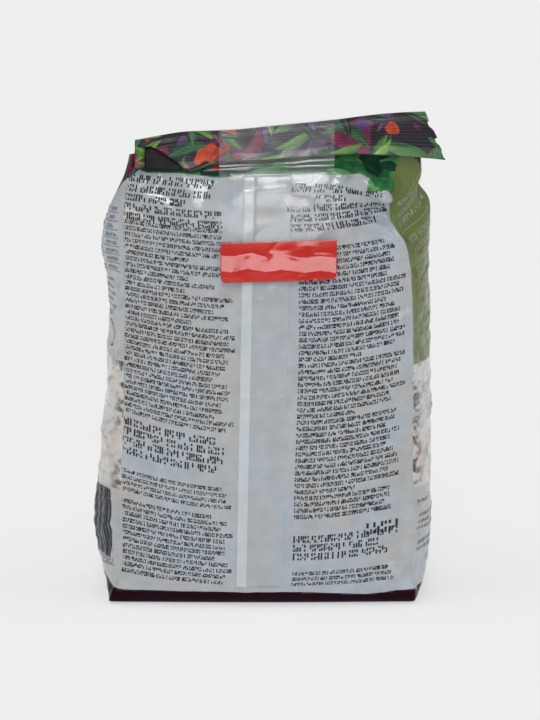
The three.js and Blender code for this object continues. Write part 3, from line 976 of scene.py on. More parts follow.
def makeLentils():
    draw = np.random.default_rng(lentils["seed"])
    places, normals, depths = lentilPlaces(draw)
    form, faces = lentilForm()
    total = len(places)
    radius = draw.uniform(*lentils["radius"], total)
    flat = radius * draw.uniform(*lentils["flatness"], total)
    spread = math.tan(math.radians(lentils["tilt"]))
    axis = normals + draw.normal(0, 0.5 * spread, (total, 3))
    axis /= np.linalg.norm(axis, axis=1, keepdims=True)
    facing = np.sum(axis * normals, 1) ** 2
    stand = np.sqrt(flat**2 * facing + radius**2 * (1 - facing))  # how far each reaches towards the film
    centres = places - normals * (stand + depths)[:, None]
    clearCorners(centres, normals, radius)
    side = np.cross(axis, draw.normal(size=(total, 3)))
    side /= np.linalg.norm(side, axis=1, keepdims=True)
    other = np.cross(axis, side)
    oval = draw.uniform(*lentils["oval"], total)
    points = (
        centres[:, None]
        + form[None, :, :1] * (side * (radius * oval)[:, None])[:, None]
        + form[None, :, 1:2] * (other * radius[:, None])[:, None]
        + form[None, :, 2:] * (axis * flat[:, None])[:, None]
    )
    allFaces = faces[None] + (np.arange(total) * len(form))[:, None, None]
    piece = makePiece("lentils", points, allFaces.reshape(-1, 3))
    addMark(piece, "tone", np.repeat(draw.uniform(0, 1, total), len(form)))
    print("lentils laid:", total)
    return piece


def lentilMaterial():
    material, tree, shader = newMaterial("lentil_skin", IOR=1.45)
    skinTone = rampOf(tree, markOf(tree, "tone"), lentils["tones"])
    grain = noiseOf(tree, 0.7, 4, rough=0.7)
    mottle = rampOf(tree, grain, [(0.38, (0.5, 0.5, 0.45)), (0.56, (1.0, 1.0, 1.0))])
    blotch = rampOf(tree, noiseOf(tree, 2.6, 2), [(0.35, (0.78, 0.82, 0.74)), (0.65, (1.12, 1.05, 1.0))])
    colour = mixColour(tree, 0.55, skinTone, mottle, "MULTIPLY")
    link(tree, tinted(tree, colour, blotch), shader, "Base Color")
    link(tree, mottled(tree, 1.5, 2, 0.5, 0.7), shader, "Roughness")
    link(tree, bumpOf(tree, noiseOf(tree, 0.5, 3), 0.06, 0.5), shader, "Normal")
    return material


# The mass of lentils behind the outer layer, with bumps of their size.
packedMass = {"inset": 4.6, "every": 3, "bump": 2.2, "bumpSize": 5.0, "top": 116, "heap": 5.0, "floor": 2.4}


def makeCore():
    rows = np.arange(0, np.searchsorted(filmHeights, packedMass["top"]), packedMass["every"])
    points = skin[rows][:, :: packedMass["every"]]
    normals = skinNormals[rows][:, :: packedMass["every"]]
    bumps = np.abs(lumps(points, packedMass["bumpSize"], 12)) * packedMass["bump"]
    points = points - normals * (packedMass["inset"] - bumps)[..., None]
    points[..., 2] = np.maximum(points[..., 2], packedMass["floor"])
    middle = points[-1].mean(0)
    heap = []
    for share in (0.12, 0.3, 0.5, 0.7, 0.85, 0.96):
        ring = points[-1] * (1 - share) + middle * share
        ring[:, 2] += packedMass["heap"] * math.sin(share * math.pi / 2)
        heap.append(ring)
    centre = np.array([0, 0, packedMass["floor"]])
    floorRings = [points[0] * (1 - share) + centre * share for share in (0.96, 0.6, 0.2)]
    grid = np.concatenate([np.array(floorRings), points, np.array(heap)])
    count = grid.shape[1]
    top = (len(grid) - 1) * count
    ends = [range(count - 1, -1, -1), range(top, top + count)]
    return makePiece("lentil_mass", grid, gridFaces(len(grid), count, True), ends)


def massMaterial():
    material, tree, shader = newMaterial("lentil_mass", Roughness=0.75)
    cells = cellsOf(tree, objectPlace(tree), packedMass["bumpSize"] * mm, 0.9)
    tones = [(0.0, (0.13, 0.10, 0.05)), (0.5, (0.22, 0.19, 0.09)), (1.0, (0.27, 0.21, 0.11))]
    body = rampOf(tree, channelsOf(tree, cells["Color"])[0], tones)
    # painted shade: the colour darkens towards the cells' edges, the gaps between lentils
    paintedGapShade = rampOf(tree, cells["Distance"], [(0.25, (1.0, 1.0, 1.0)), (0.62, (0.22, 0.18, 0.14))])
    link(tree, tinted(tree, body, paintedGapShade), shader, "Base Color")
    domed = calc(tree, "SUBTRACT", 1.0, cells["Distance"])
    link(tree, bumpOf(tree, domed, 1.4, 0.8), shader, "Normal")
    return material


heap = makeLentils()
heap.data.materials.append(lentilMaterial())
mass = makeCore()
mass.data.materials.append(massMaterial())
for piece in (heap, mass):
    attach(piece, "root")
    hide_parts("bag")


def faceShares():
    return np.linspace(1, 0, foldedTop["faceRows"])


def earEdgeAt(s):
    return foldedTop["earLeft"] + (foldedTop["earRight"] - foldedTop["earLeft"]) * (1 - s)


def stripFaceY(x, s, ribs=1.0):
    low, high = foldedTop["ribLow"], foldedTop["ribHigh"]
    inRibs = blendStep(s, low - 0.03, low)
    inRibs = inRibs * (1 - blendStep(s, high, high + 0.03))
    turn = (s - low) / (high - low) * foldedTop["ribs"] * math.pi
    strength = 0.55 + 0.45 * blendStep(x, 5, 30)  # the ribs are deeper towards the right
    rib = foldedTop["ribDepth"] * ribs * strength * np.abs(np.sin(turn)) * inRibs
    earEdge = earEdgeAt(s)
    turnedUnder = foldedTop["earDepth"] * (1 - blendStep(x, earEdge - 0.5, earEdge + 0.1))
    turnedUnder = turnedUnder * (1 - blendStep(s, 0.9, 0.95))
    turnedUnder = turnedUnder * blendStep(x, foldedTop["left"] + 2.2, foldedTop["left"] + 3.4)
    rib = rib * (1 - 0.85 * (turnedUnder > 0.3))
    shares, edges = np.array(foldedTop["flapEdge"], float).T
    flapEdge = np.interp(s, shares, edges)
    onFlap = blendStep(x, earEdge, earEdge + 0.4) * (1 - blendStep(x, flapEdge - 0.4, flapEdge))
    turnedUnder = turnedUnder - foldedTop["flapStep"] * onFlap * (1 - blendStep(s, 0.86, 0.96))
    sag = 0.5 * np.sin(x * 0.13 + 1.0) * np.sin(s * 3.0) + 0.25 * np.sin(x * 0.37 - s * 4)
    y = foldedTop["faceBottomY"] + (foldedTop["faceTopY"] - foldedTop["faceBottomY"]) * s
    return y - rib + turnedUnder - 0.5 * sag


def stripOuter(x, ribs=1.0):
    # from the back leg's lower end up over the fold and down the face, for every station x
    x = np.asarray(x, float)[:, None]
    bottom, top = stripBottom(x), foldHeight(x)
    faceTop = top - foldedTop["foldRadius"]
    backLow = np.maximum(foldedTop["backLegLow"] + 0 * x, (bottom + 0.8) * blendStep(x, 36, 44))
    climb = np.linspace(0, 1, foldedTop["backRows"] + 1)[None, :-1]
    backZ = backLow + (faceTop - backLow) * climb
    backY = foldedTop["backY"] + 0 * backZ
    turn = np.linspace(0, math.pi, foldedTop["foldRows"] + 1)[None, :-1]
    faceTopY = stripFaceY(x, 1.0, ribs)
    middle, half = (foldedTop["backY"] + faceTopY) / 2, (foldedTop["backY"] - faceTopY) / 2
    foldY = middle + half * np.cos(turn)
    foldZ = faceTop + foldedTop["foldRadius"] * np.sin(turn)
    s = faceShares()[None]
    faceY = stripFaceY(x, s, ribs)
    faceZ = bottom + (faceTop - bottom) * s
    y = np.concatenate([backY, foldY, faceY], 1)
    z = np.concatenate([backZ, foldZ, faceZ], 1)
    drop = np.clip((top - z) / (top - bottom), 0, 1)
    return np.stack([x + 0 * y, y, z], -1), drop


def bareFaces(x, count):
    # the film's bare inside shows all over the inner half, and where the face is turned under
    faceStart = count - foldedTop["faceRows"]
    s = np.r_[np.zeros(faceStart), faceShares()]
    under = (x[:, None] < earEdgeAt(s)[None]) & (s[None] < 0.93) & (np.arange(count)[None] > faceStart)
    under = under & (x[:, None] > foldedTop["left"] + 2.8)
    bare = np.concatenate([under, np.ones_like(under)], 1)
    around = np.roll(bare, -1, 1)
    return (bare[:-1] & bare[1:] & around[:-1] & around[1:]).ravel()


def makeFoldedTop():
    share = np.linspace(0, 1, foldedTop["stations"])
    x = foldedTop["left"] + (foldedTop["rightTop"] - foldedTop["left"]) * share
    outer, drop = stripOuter(x)
    plain, _ = stripOuter(x, ribs=0.0)
    count = outer.shape[1]
    normal = gridNormals(plain.transpose(1, 0, 2), False).transpose(1, 0, 2)
    t = np.linspace(0, 1, count)[None, :]
    atBack, atFold, onFace = foldedTop["thickBack"], foldedTop["thickFold"], foldedTop["thickFace"]
    thick = atBack + (atFold - atBack) * blendStep(t, 0.1, 0.2)
    thick = thick - (atFold - onFace) * blendStep(t, 0.4, 0.55)
    inner = plain + normal * thick[..., None]
    # the film layers end in small steps down the right-hand edge
    draw = np.random.default_rng(foldedTop["endSeed"])
    steps = draw.uniform(*foldedTop["endSteps"], 12)
    notch = steps[np.clip((drop * 11).astype(int), 0, 11)] * blendStep(drop, 0.02, 0.1)
    reach = (foldedTop["rightBottom"] - foldedTop["rightTop"]) * drop + np.where(drop < 0.97, notch, 0)
    pull = blendStep(share, 0.88, 1)[:, None]
    outer[..., 0] += reach * pull
    inner[..., 0] += (reach - 0.25) * pull
    loop = np.concatenate([outer, inner[:, ::-1]], 1)
    cells = gridFaces(len(x), loop.shape[1], True)[:, ::-1]
    ends = []
    for station in (0, len(x) - 1):
        first = station * loop.shape[1]
        for k in range(count - 1):
            a, b = first + k, first + k + 1
            c, d = first + 2 * count - 2 - k, first + 2 * count - 1 - k
            ends.append((a, b, c, d) if station == 0 else (d, c, b, a))
    piece = makePiece("folded_top", loop, cells, ends)
    length = np.r_[0, np.cumsum(np.linalg.norm(np.diff(plain[len(x) // 2], axis=0), axis=1))]
    up = np.r_[length, length[::-1] + 60, length[0]]
    corners = np.stack(np.broadcast_arrays(x[:, None], up[None]), -1)
    setUv(piece, "sheet", cellCorners(corners)[:, :, ::-1].reshape(-1, 2))
    index = np.r_[bareFaces(x, count), np.zeros(len(ends), bool)].astype(np.int32)
    piece.data.materials.append(foldedTopMaterial())
    piece.data.materials.append(bareFilmMaterial())
    piece.data.polygons.foreach_set("material_index", index)
    return piece


def foldedTopMaterial():
    material, tree, shader = newMaterial("folded_top_print", IOR=1.45, Specular_IOR_Level=0.35)
    link(tree, foliageColour(tree), shader, "Base Color")
    link(tree, mottled(tree, 7, 3, 0.26, 0.4), shader, "Roughness")
    link(tree, bumpOf(tree, noiseOf(tree, 2.4, 3), 0.25, 0.5), shader, "Normal")
    return material


def bareFilmMaterial():
    material, tree, shader = newMaterial("bare_inside_film", IOR=1.4, Specular_IOR_Level=0.15)
    worn = rampOf(tree, noiseOf(tree, 6, 4), [(0.35, (0.009, 0.008, 0.011)), (0.7, (0.018, 0.016, 0.021))])
    link(tree, worn, shader, "Base Color")
    link(tree, mottled(tree, 5, 3, 0.34, 0.5), shader, "Roughness")
    link(tree, bumpOf(tree, noiseOf(tree, 4, 2), 0.2, 0.4), shader, "Normal")
    return material


top = makeFoldedTop()
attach(top, "root")
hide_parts("bag")
print("folded top made")


# The lap seam down the back: a doubled band whose sealed left edge is whiter.
seam = {
    "leftTop": -7.8,
    "leftBottom": -10.3,
    "rightTop": 7.4,
    "rightBottom": 4.0,
    "low": 6.5,
    "high": 136.0,
    "sealed": 0.225,  # share of the width that is sealed and whiter
    "proud": 0.42,
    "thin": 0.16,
    "columns": 44,
    "rows": 260,
}


def makeSeam():
    u = np.linspace(0, 1, seam["columns"])[None, :]
    z = np.linspace(seam["low"], seam["high"], seam["rows"])[:, None]
    v = (z - seam["low"]) / (seam["high"] - seam["low"])
    left = seam["leftBottom"] + (seam["leftTop"] - seam["leftBottom"]) * v
    right = seam["rightBottom"] + (seam["rightTop"] - seam["rightBottom"]) * v
    x = left + (right - left) * u
    sealedPart = blendStep(u, seam["sealed"], seam["sealed"] + 0.05)
    lift = seam["thin"] + (seam["proud"] - seam["thin"]) * (1 - sealedPart)
    edge = np.minimum(u, 1 - u) * (right - left)
    lift = lift * (0.3 + 0.7 * blendStep(edge, 0, 0.25))
    ground = onSkin("back", shareOfBack(x, z), z)
    ripple = lumps(np.dstack([ground[..., 0] * 0.25, ground[..., 1] * 0, ground[..., 2]]), 4.2, 2) * 0.14
    lift = lift + np.clip(ripple * 1.6, -0.12, 0.3) * blendStep(edge, 0, 0.8)
    outer = onSkin("back", shareOfBack(x, z), z, lift)
    inner = onSkin("back", shareOfBack(x, z), z, 0.03)
    piece = makePlate("back_lap_seam", outer, inner)
    share = np.linspace(0, 1, seam["columns"])
    addMark(piece, "across", np.tile(np.r_[share, share[::-1]], seam["rows"]))
    return piece


def seamMaterial():
    material, tree, shader = newMaterial("lap_seam_film", IOR=1.49)
    across = markOf(tree, "across")
    sealed = [
        (0.0, (0.55, 0.592, 0.61)),
        (seam["sealed"], (0.422, 0.444, 0.461)),
        (0.97, (0.465, 0.492, 0.51)),
    ]
    patches = rampOf(tree, noiseOf(tree, 24, 3), [(0.35, (1.0, 0.955, 0.925)), (0.62, (0.95, 0.985, 1.02))])
    colour = tinted(tree, rampOf(tree, across, sealed, "CONSTANT"), patches)
    link(tree, tinted(tree, colour, mottled(tree, 5, 2, 0.94, 1.05)), shader, "Base Color")
    rough = mottled(tree, 9, 3, 0.2, 0.32)
    link(tree, calc(tree, "MULTIPLY", rough, slackAt(tree, 0.45)), shader, "Roughness")
    ripples = calc(tree, "MULTIPLY", noiseOf(tree, 2.8, 3), slackAt(tree, 0.3))
    link(tree, bumpOf(tree, ripples, 0.2, 0.5), shader, "Normal")
    return material


lapSeam = makeSeam()
lapSeam.data.materials.append(seamMaterial())
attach(lapSeam, "root")
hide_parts("bag")
print("lap seam made")


# The clear tape from under the tab over the fold to the far slope.
tape = {
    "left": -15.4,
    "right": 20.7,
    "low": 113,
    "bridge": 137,  # above this the tape spans to the folded top
    "farEnd": 120,
    "lift": 0.22,
    "thick": 0.12,
    "smoothing": 14,
    "columns": 90,
    "rows": {"panel": 60, "span": 50, "far": 26, "join": 8},
    "farStart": 143.0,
    "flattenedRibs": 0.45,  # share of the ribs' depth that shows through the tape
    "tautFolds": [(0.24, 0.4, 0.07), (0.56, 0.5, 0.08)],  # (place in the span, height, width)
    "blister": {"centre": (9.6, 129.4), "size": (5.6, 2.7), "height": 0.45},
    "paintedHighlight": {"folds": 0.75, "blister": 0.5},  # painted highlight: how much whiter the tape is painted along its taut folds, partly standing for whitened stretched tape, and over its blister
}


def tapeOnPanel(x):
    z = np.linspace(tape["low"], tape["bridge"], tape["rows"]["panel"])[:, None]
    flat = x[None, :] + 0 * z
    puff = tape["blister"]
    away = ((flat - puff["centre"][0]) / puff["size"][0]) ** 2
    away = away + ((z - puff["centre"][1]) / puff["size"][1]) ** 2
    lift = tape["lift"] + seam["proud"] * 0.6 + puff["height"] * np.exp(-away)
    ground = onSkin("back", shareOfBack(flat, z), z, lift)
    panel = ground.copy()
    for _ in range(tape["smoothing"]):
        panel[1:-1] = (panel[:-2] + 2 * panel[1:-1] + panel[2:]) / 4
        panel[:, 1:-1] = (panel[:, :-2] + 2 * panel[:, 1:-1] + panel[:, 2:]) / 4
    panel[..., 1] = np.minimum(panel[..., 1], ground[..., 1] + 0.15)
    # the blister is painted whiter: a painted highlight
    return panel, tape["paintedHighlight"]["blister"] * np.exp(-(away**3))


def tapeSpan(x, below, above):
    # pulled tight between the panel and the strip, with a few taut folds across it and a painted highlight
    # along each fold, partly standing for the whitening of stretched tape
    span = np.linspace(0, 1, tape["rows"]["span"])[1:-1, None, None]
    taut = below[None] * (1 - span) + above[None] * span
    foldHighlight = np.zeros(taut.shape[:2])
    for place, height, width in tape["tautFolds"]:
        wander = place + 0.05 * np.sin(x * 0.15 + place * 9) + 0.02 * np.sin(x * 0.6)
        ridge = np.exp(-(((span[..., 0] - wander[None]) / width) ** 2))
        taut[..., 1] -= height * ridge
        foldHighlight += ridge**2 * (0.6 + 0.4 * np.sin(x * 0.23 + place * 20))[None]
    return taut, tape["paintedHighlight"]["folds"] * foldHighlight


def tapeOnStrip(x):
    outer, _ = stripOuter(x, tape["flattenedRibs"])
    strip = outer.transpose(1, 0, 2)[::-1].copy()
    strip = strip[: foldedTop["faceRows"] + foldedTop["foldRows"]]
    return strip + gridNormals(strip, False) * tape["lift"]


def tapeOnSlope(x):
    z = np.linspace(tape["farStart"], tape["farEnd"], tape["rows"]["far"])[:, None]
    flat = x[None, :] + 0 * z
    s = (rightEdge(z) - flat) / (rightEdge(z) - leftEdge(z))
    slope = onSkin("front", s, z, tape["lift"])
    slope[..., 1] = np.maximum(slope[..., 1], foldedTop["backY"] + tape["lift"])
    return slope


def tapePath(x):
    # rows of points at each x over the panel, span, face, fold and far slope, and the painted highlight that
    # whitens the tape
    panel, blisterHighlight = tapeOnPanel(x)
    strip, slope = tapeOnStrip(x), tapeOnSlope(x)
    taut, foldHighlight = tapeSpan(x, panel[-1], strip[0])
    join = np.linspace(0, 1, tape["rows"]["join"])[1:-1, None, None]
    bridge = strip[-1][None] * (1 - join) + slope[0][None] * join
    path = np.concatenate([panel, taut, strip, bridge, slope])
    white = np.zeros(path.shape[:2])
    white[: len(panel)] = blisterHighlight
    white[len(panel) : len(panel) + len(taut)] = foldHighlight
    return path, white


def makeTape():
    x = np.linspace(tape["left"], tape["right"], tape["columns"])
    path, white = tapePath(x)
    path = path + gridNormals(path, False) * (lumps(path, 9, 6) * 0.1)[..., None]
    normal = gridNormals(path, False)
    outer = path + normal * tape["thick"]
    piece = makePlate("clear_tape", outer, path)
    addMark(piece, "white", np.concatenate([white, 0 * white], 1))
    return piece


def tapeMaterial():
    material, tree, shader = newMaterial("clear_tape", IOR=1.5, Specular_IOR_Level=0.8)
    haze = rampOf(tree, noiseOf(tree, 14, 3), [(0.35, (0.62, 0.64, 0.66)), (0.65, (0.74, 0.75, 0.76))])
    link(tree, haze, shader, "Base Color")
    # the mark 'white' is painted highlight, making the white haze more opaque along the taut folds and over
    # the blister
    white = markOf(tree, "white")
    alpha = calc(tree, "ADD", mottled(tree, 7, 3, 0.04, 0.10), white)
    link(tree, clamped(tree, alpha), shader, "Alpha")
    link(tree, mottled(tree, 5, 2, 0.05, 0.11), shader, "Roughness")
    link(tree, bumpOf(tree, noiseOf(tree, 3.5, 2), 0.1, 0.4), shader, "Normal")
    return material


clearTape = makeTape()
clearTape.data.materials.append(tapeMaterial())
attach(clearTape, "root")
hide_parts("closure_tape")
print("tape made")


# The red tab on the lower end of the tape.
tab = {
    "left": -14.9,
    "right": 21.3,
    "low": 104.6,
    "high": 116.8,
    "rise": 1.1,
    "thick": 0.3,
    "standAtFoot": 0.58,  # how far the face bends off the panel below the fold
    "standAtHead": -0.02,
    "lowFold": [  # (share of the width, share of the height)
        (0, 0.3), (0.1, 0.26), (0.24, 0.36), (0.38, 0.24), (0.54, 0.3), (0.7, 0.2), (0.86, 0.24), (1, 0.16),
    ],
    "highFold": [
        (0, 0.68), (0.12, 0.66), (0.26, 0.74), (0.4, 0.62), (0.52, 0.7), (0.66, 0.56), (0.84, 0.6), (1, 0.54),
    ],
    "creases": dict(seed=41, count=34, across=(-14, 20), up=(104, 116), slope=(-25, 50), length=(4, 14),
                    width=(0.6, 1.3), depth=(0.02, 0.07)),
    "corner": 2,
    "stand": 1.6,  # its back stands this far off the panel
    "columns": 160,
    "rows": 60,
}


def makeTab():
    u = np.linspace(0, 1, tab["columns"])[None, :]
    v = np.linspace(0, 1, tab["rows"])[:, None]
    z = tab["low"] + (tab["high"] - tab["low"]) * v
    inCorner = np.maximum(0, 1 - (z - tab["low"]) / tab["corner"])
    inset = tab["corner"] * (1 - np.sqrt(np.maximum(0, 1 - inCorner**2))) * 0.8
    x = tab["left"] + inset + (tab["right"] - tab["left"] - 2 * inset) * u
    s = shareOfBack(x, z)
    ground = backDepth(z) - backBulge(z) * (crown(0.5) * 0.75 + crown(s) * 0.25 - 0.05)
    creases = strayCreases(**tab["creases"])
    lowFold = np.interp(u, *np.array(tab["lowFold"], float).T)
    highFold = np.interp(u, *np.array(tab["highFold"], float).T)
    between = np.clip((v - lowFold) / (highFold - lowFold), 0, 1)
    bent = tab["standAtFoot"] + (tab["standAtHead"] - tab["standAtFoot"]) * between
    bent = bent + 0.25 * np.clip(v - highFold, 0, 1)
    lifted = bent + creaseRelief(creases, x, z, 1.6)
    face = np.stack([x, ground - tab["stand"] - lifted - tab["thick"], z + tab["rise"] * u], -1)
    return makePlate("red_tab", face, face + np.array([0, tab["thick"], 0]))


def tabMaterial():
    material, tree, shader = newMaterial("red_tab", IOR=1.56)
    colour = rampOf(tree, noiseOf(tree, 11, 3), [(0.35, (0.52, 0.010, 0.005)), (0.65, (0.58, 0.014, 0.007))])
    link(tree, colour, shader, "Base Color")
    link(tree, mottled(tree, 6, 3, 0.1, 0.16), shader, "Roughness")
    link(tree, bumpOf(tree, noiseOf(tree, 3.0, 2), 0.03, 0.4), shader, "Normal")
    return material


redTab = makeTab()
redTab.data.materials.append(tabMaterial())
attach(redTab, "root")
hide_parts("opening_tab")
print("tab made")


# The back panel's small print as rows of plain marks that stand for text, without letters.
# Each block is (top, bottom, pitch, mark height, stroke), measured at the inner end of the lines.
smallPrint = {
    "left": {
        "from": -45.9,
        "to": -11.0,
        "inner": -12.0,
        "climb": [(0, 3.4), (20, 4.2), (52, 6.0), (80, 4.4), (100, 3.4), (135, 2.6)],
        "blocks": [
            (132.8, 121.0, 2.95, 2.2, 0.5),
            (119.6, 55.5, 1.96, 1.3, 0.33),
            (52.6, 41.8, 3.0, 2.3, 0.5),
            (37.9, 31.5, 1.9, 1.2, 0.29),
            (28.6, 6.5, 1.95, 1.3, 0.33),
        ],
    },
    "right": {
        "from": 8.3,
        "to": 42.5,
        "inner": 12.0,
        "slant": 2.4,  # how far the column leans to the right at the top
        "climb": [(0, 2.4), (18, 3.2), (52, 4.8), (80, 4.4), (110, 4.0), (124, 3.0), (135, -3.2)],
        "blocks": [
            (132.0, 117.4, 2.95, 2.2, 0.5),
            (113.9, 27.5, 2.02, 1.34, 0.36),
            (21.2, 12.8, 2.9, 2.3, 0.5),
            (10.2, 5.6, 1.75, 1.15, 0.3),
        ],
    },
    "panelLeft": -46,
    "panelWidth": 91.8,
    "columnWidth": 34,
    "slantFrom": 20,
    "slantOver": 115,
    "lineEnds": ([1.0, 0.95, 0.9, 0.82, 0.6], [0.35, 0.25, 0.2, 0.12, 0.08]),  # how long, how often
    "tallBlock": (31.5, 21.9, 41.8, 3.6, 0.75),
    "seed": 52,
}


# The marks are broken stems and short bars, so the rows look printed from afar and never make letters.
stemRuns = [[(0, 1)], [(0, 0.62)], [(0.38, 1)], [(0, 0.32), (0.56, 1)], [(0, 0.46), (0.7, 1)]]


def markStrokes(x, z, wide, high, stroke, draw):
    made = []
    stems = draw.choice([2, 3], p=[0.76, 0.24])
    for k in range(stems):
        a = x + wide * k / (stems - 1)
        for low, top in stemRuns[draw.integers(len(stemRuns))]:
            made.append((a, z + low * high, a, z + top * high, stroke))
    for _ in range(draw.integers(0, 3)):
        level = z + high * draw.choice([0.08, 0.36, 0.64, 0.92])
        made.append((x + wide * 0.34, level, x + wide * 0.66, level, stroke * 0.8))
    return made


def writeLine(x, z, end, high, stroke, draw):
    made = []
    while x < end - 2 * high:
        for _ in range(draw.integers(2, 10)):
            wide = high * draw.uniform(0.48, 0.66)
            if x + wide > end:
                break
            made += markStrokes(x, z, wide, high, stroke, draw)
            x += wide + high * 0.36
        x += high * draw.uniform(0.3, 0.5)
    return made


def splitStrokes(strokes, step):
    made = []
    for x1, z1, x2, z2, stroke in strokes:
        count = max(1, math.ceil(math.hypot(x2 - x1, z2 - z1) / step))
        for k in range(count):
            a, b = k / count, (k + 1) / count
            start = (x1 + (x2 - x1) * a, z1 + (z2 - z1) * a)
            end = (x1 + (x2 - x1) * b, z1 + (z2 - z1) * b)
            made.append((*start, *end, stroke))
    return made


def strokeCorners(strokes, step=1.6):
    x1, z1, x2, z2, stroke = np.array(splitStrokes(strokes, step)).T
    length = np.maximum(np.hypot(x2 - x1, z2 - z1), 1e-6)
    sideX, sideZ = -(z2 - z1) / length * stroke / 2, (x2 - x1) / length * stroke / 2
    x = np.stack([x1 - sideX, x2 - sideX, x2 + sideX, x1 + sideX], -1)
    z = np.stack([z1 - sideZ, z2 - sideZ, z2 + sideZ, z1 + sideZ], -1)
    return x, z


def backPrint():
    draw = np.random.default_rng(smallPrint["seed"])
    lengths, odds = smallPrint["lineEnds"]
    corners = []
    for name in ("left", "right"):
        column = smallPrint[name]
        climb = throughRows(column["climb"])
        strokes = []
        for high, low, pitch, tall, stroke in column["blocks"]:
            z = high
            while z > low:
                end = column["from"] + (column["to"] - column["from"]) * draw.choice(lengths, p=odds)
                strokes += writeLine(column["from"], z, end, tall, stroke, draw)
                z -= pitch
        if name == "right":
            strokes += writeLine(*smallPrint["tallBlock"], draw)
        x, z = strokeCorners(strokes)
        outward = np.abs(x - column["inner"]) / smallPrint["columnWidth"]
        outward = outward * ((x < column["inner"]) if name == "left" else (x > column["inner"]))
        z = z + climb(z) * outward**1.6
        share = (x - smallPrint["panelLeft"]) / smallPrint["panelWidth"]
        if name == "right":
            lean = column["slant"] * (z - smallPrint["slantFrom"]) / smallPrint["slantOver"]
            share = share + lean / smallPrint["panelWidth"]
        corners.append(onSkin("back", np.clip(share, 0.002, 0.998), z, 0.07))
    return np.concatenate(corners)


# Print on the gussets: plain marks, rules, a ring and upright bars, all generic. "mark" is (height, stroke).
sidePrint = {
    "seeds": {"left": 61, "right": 62},
    "table": {"from": 0.30, "to": 0.94, "top": 127, "bottom": 107, "pitch": 2.7, "mark": (1.1, 0.18)},
    "notes": {"from": 0.35, "to": 0.92, "top": 104, "bottom": 92, "pitch": 2.1, "mark": (1.1, 0.18)},
    "ring": {"share": 0.74, "height": 86, "radius": 4.2, "sides": 24, "stroke": 0.35},
    "bars": {"from": 0.3, "to": 0.92, "low": 14.5, "high": 36.5, "count": 22},
    "tally": {"low": 11.6, "high": 14.2, "pitch": 2.6, "wide": 1.5, "stroke": 0.3},
    "lower": {"from": 0.08, "to": 0.86, "top": 33.5, "bottom": 10, "pitch": 2.2, "mark": (1.15, 0.19)},
    "pale": {"from": 0.07, "to": 0.92, "top": 130, "bottom": 80, "pitch": 3.1, "mark": (1.9, 0.22)},
    "rule": {"table": 0.12, "pale": 0.14},  # strokes
}


def span(block, width):
    return block["from"] * width, block["to"] * width


def leftPrint():
    draw = np.random.default_rng(sidePrint["seeds"]["left"])
    width = wallWidth["left"]
    strokes = []
    table = sidePrint["table"]
    start, end = span(table, width)
    for z in np.arange(table["bottom"], table["top"], table["pitch"]):
        strokes.append((start, z - 0.6, end, z - 0.6, sidePrint["rule"]["table"]))
        strokes += writeLine(start + 1, z, start + 22, *table["mark"], draw)
        strokes += writeLine(end - 12, z, end - 1, *table["mark"], draw)
    notes = sidePrint["notes"]
    start, end = span(notes, width)
    for z in np.arange(notes["bottom"], notes["top"], notes["pitch"]):
        strokes += writeLine(start, z, end * draw.uniform(0.8, 1), *notes["mark"], draw)
    ring = sidePrint["ring"]
    turn = np.linspace(0, math.tau, ring["sides"] + 1)
    x = ring["share"] * width + ring["radius"] * np.cos(turn)
    z = ring["height"] + ring["radius"] * np.sin(turn)
    strokes += list(zip(x[:-1], z[:-1], x[1:], z[1:], [ring["stroke"]] * ring["sides"]))
    bars = sidePrint["bars"]
    start, end = span(bars, width)
    step = (end - start) / bars["count"] / 2
    x = start
    for _ in range(bars["count"]):
        thick = step * draw.choice([0.6, 0.9, 1.2, 1.6])
        strokes.append((x, bars["low"], x, bars["high"], thick))
        x += step * 2
    tally = sidePrint["tally"]
    for x in np.arange(start, end, tally["pitch"]):
        high = tally["high"] - tally["low"]
        strokes += markStrokes(x, tally["low"], tally["wide"], high, tally["stroke"], draw)
    x, z = strokeCorners(strokes, 0.7)
    return onSkin("left", np.clip(x / width, 0.002, 0.998), z, 0.16)


def rightPrint():
    draw = np.random.default_rng(sidePrint["seeds"]["right"])
    width = wallWidth["right"]
    dark, pale = [], []
    lower = sidePrint["lower"]
    start, end = span(lower, width)
    for z in np.arange(lower["bottom"], lower["top"], lower["pitch"]):
        if draw.uniform() < 0.6:
            dark += writeLine(start, z, end * draw.uniform(0.7, 1), *lower["mark"], draw)
    block = sidePrint["pale"]
    start, end = span(block, width)
    for k, z in enumerate(np.arange(block["top"], block["bottom"], -block["pitch"])):
        if k % 4 == 3:
            pale.append((start, z + 1, end, z + 1, sidePrint["rule"]["pale"]))  # under every third line
        else:
            pale += writeLine(start, z, end * draw.uniform(0.6, 1), *block["mark"], draw)
    placed = []
    for strokes in (dark, pale):
        x, z = strokeCorners(strokes)
        z = z + (x - 0.2 * width) * (0.1 + 0.3 * blendStep(z, 100, 126)) * blendStep(z, 60, 80)
        placed.append(onSkin("right", np.clip(x / width, 0.002, 0.998), z, 0.12))
    return placed


def frontPrint():
    width = wallWidth["front"]
    middle = plate["centre"][0] - wallWidth["back"] - wallWidth["right"]
    strokes = [(middle - half, z, middle + half, z, stroke) for half, z, stroke in plate["bars"]]
    x, z = strokeCorners(strokes)
    return onSkin("front", x / width, z, 0.12)


def makePrint(name, corners):
    faces = np.arange(len(corners) * 4).reshape(-1, 4)
    return makePiece(name, corners, faces)


def inkMaterial(name, low, high):
    material, tree, shader = newMaterial(name, IOR=1.4)
    worn = rampOf(tree, noiseOf(tree, 1.6, 4), [(0.35, low), (0.7, high)])
    link(tree, worn, shader, "Base Color")
    link(tree, mottled(tree, 2, 2, 0.45, 0.6), shader, "Roughness")
    return material


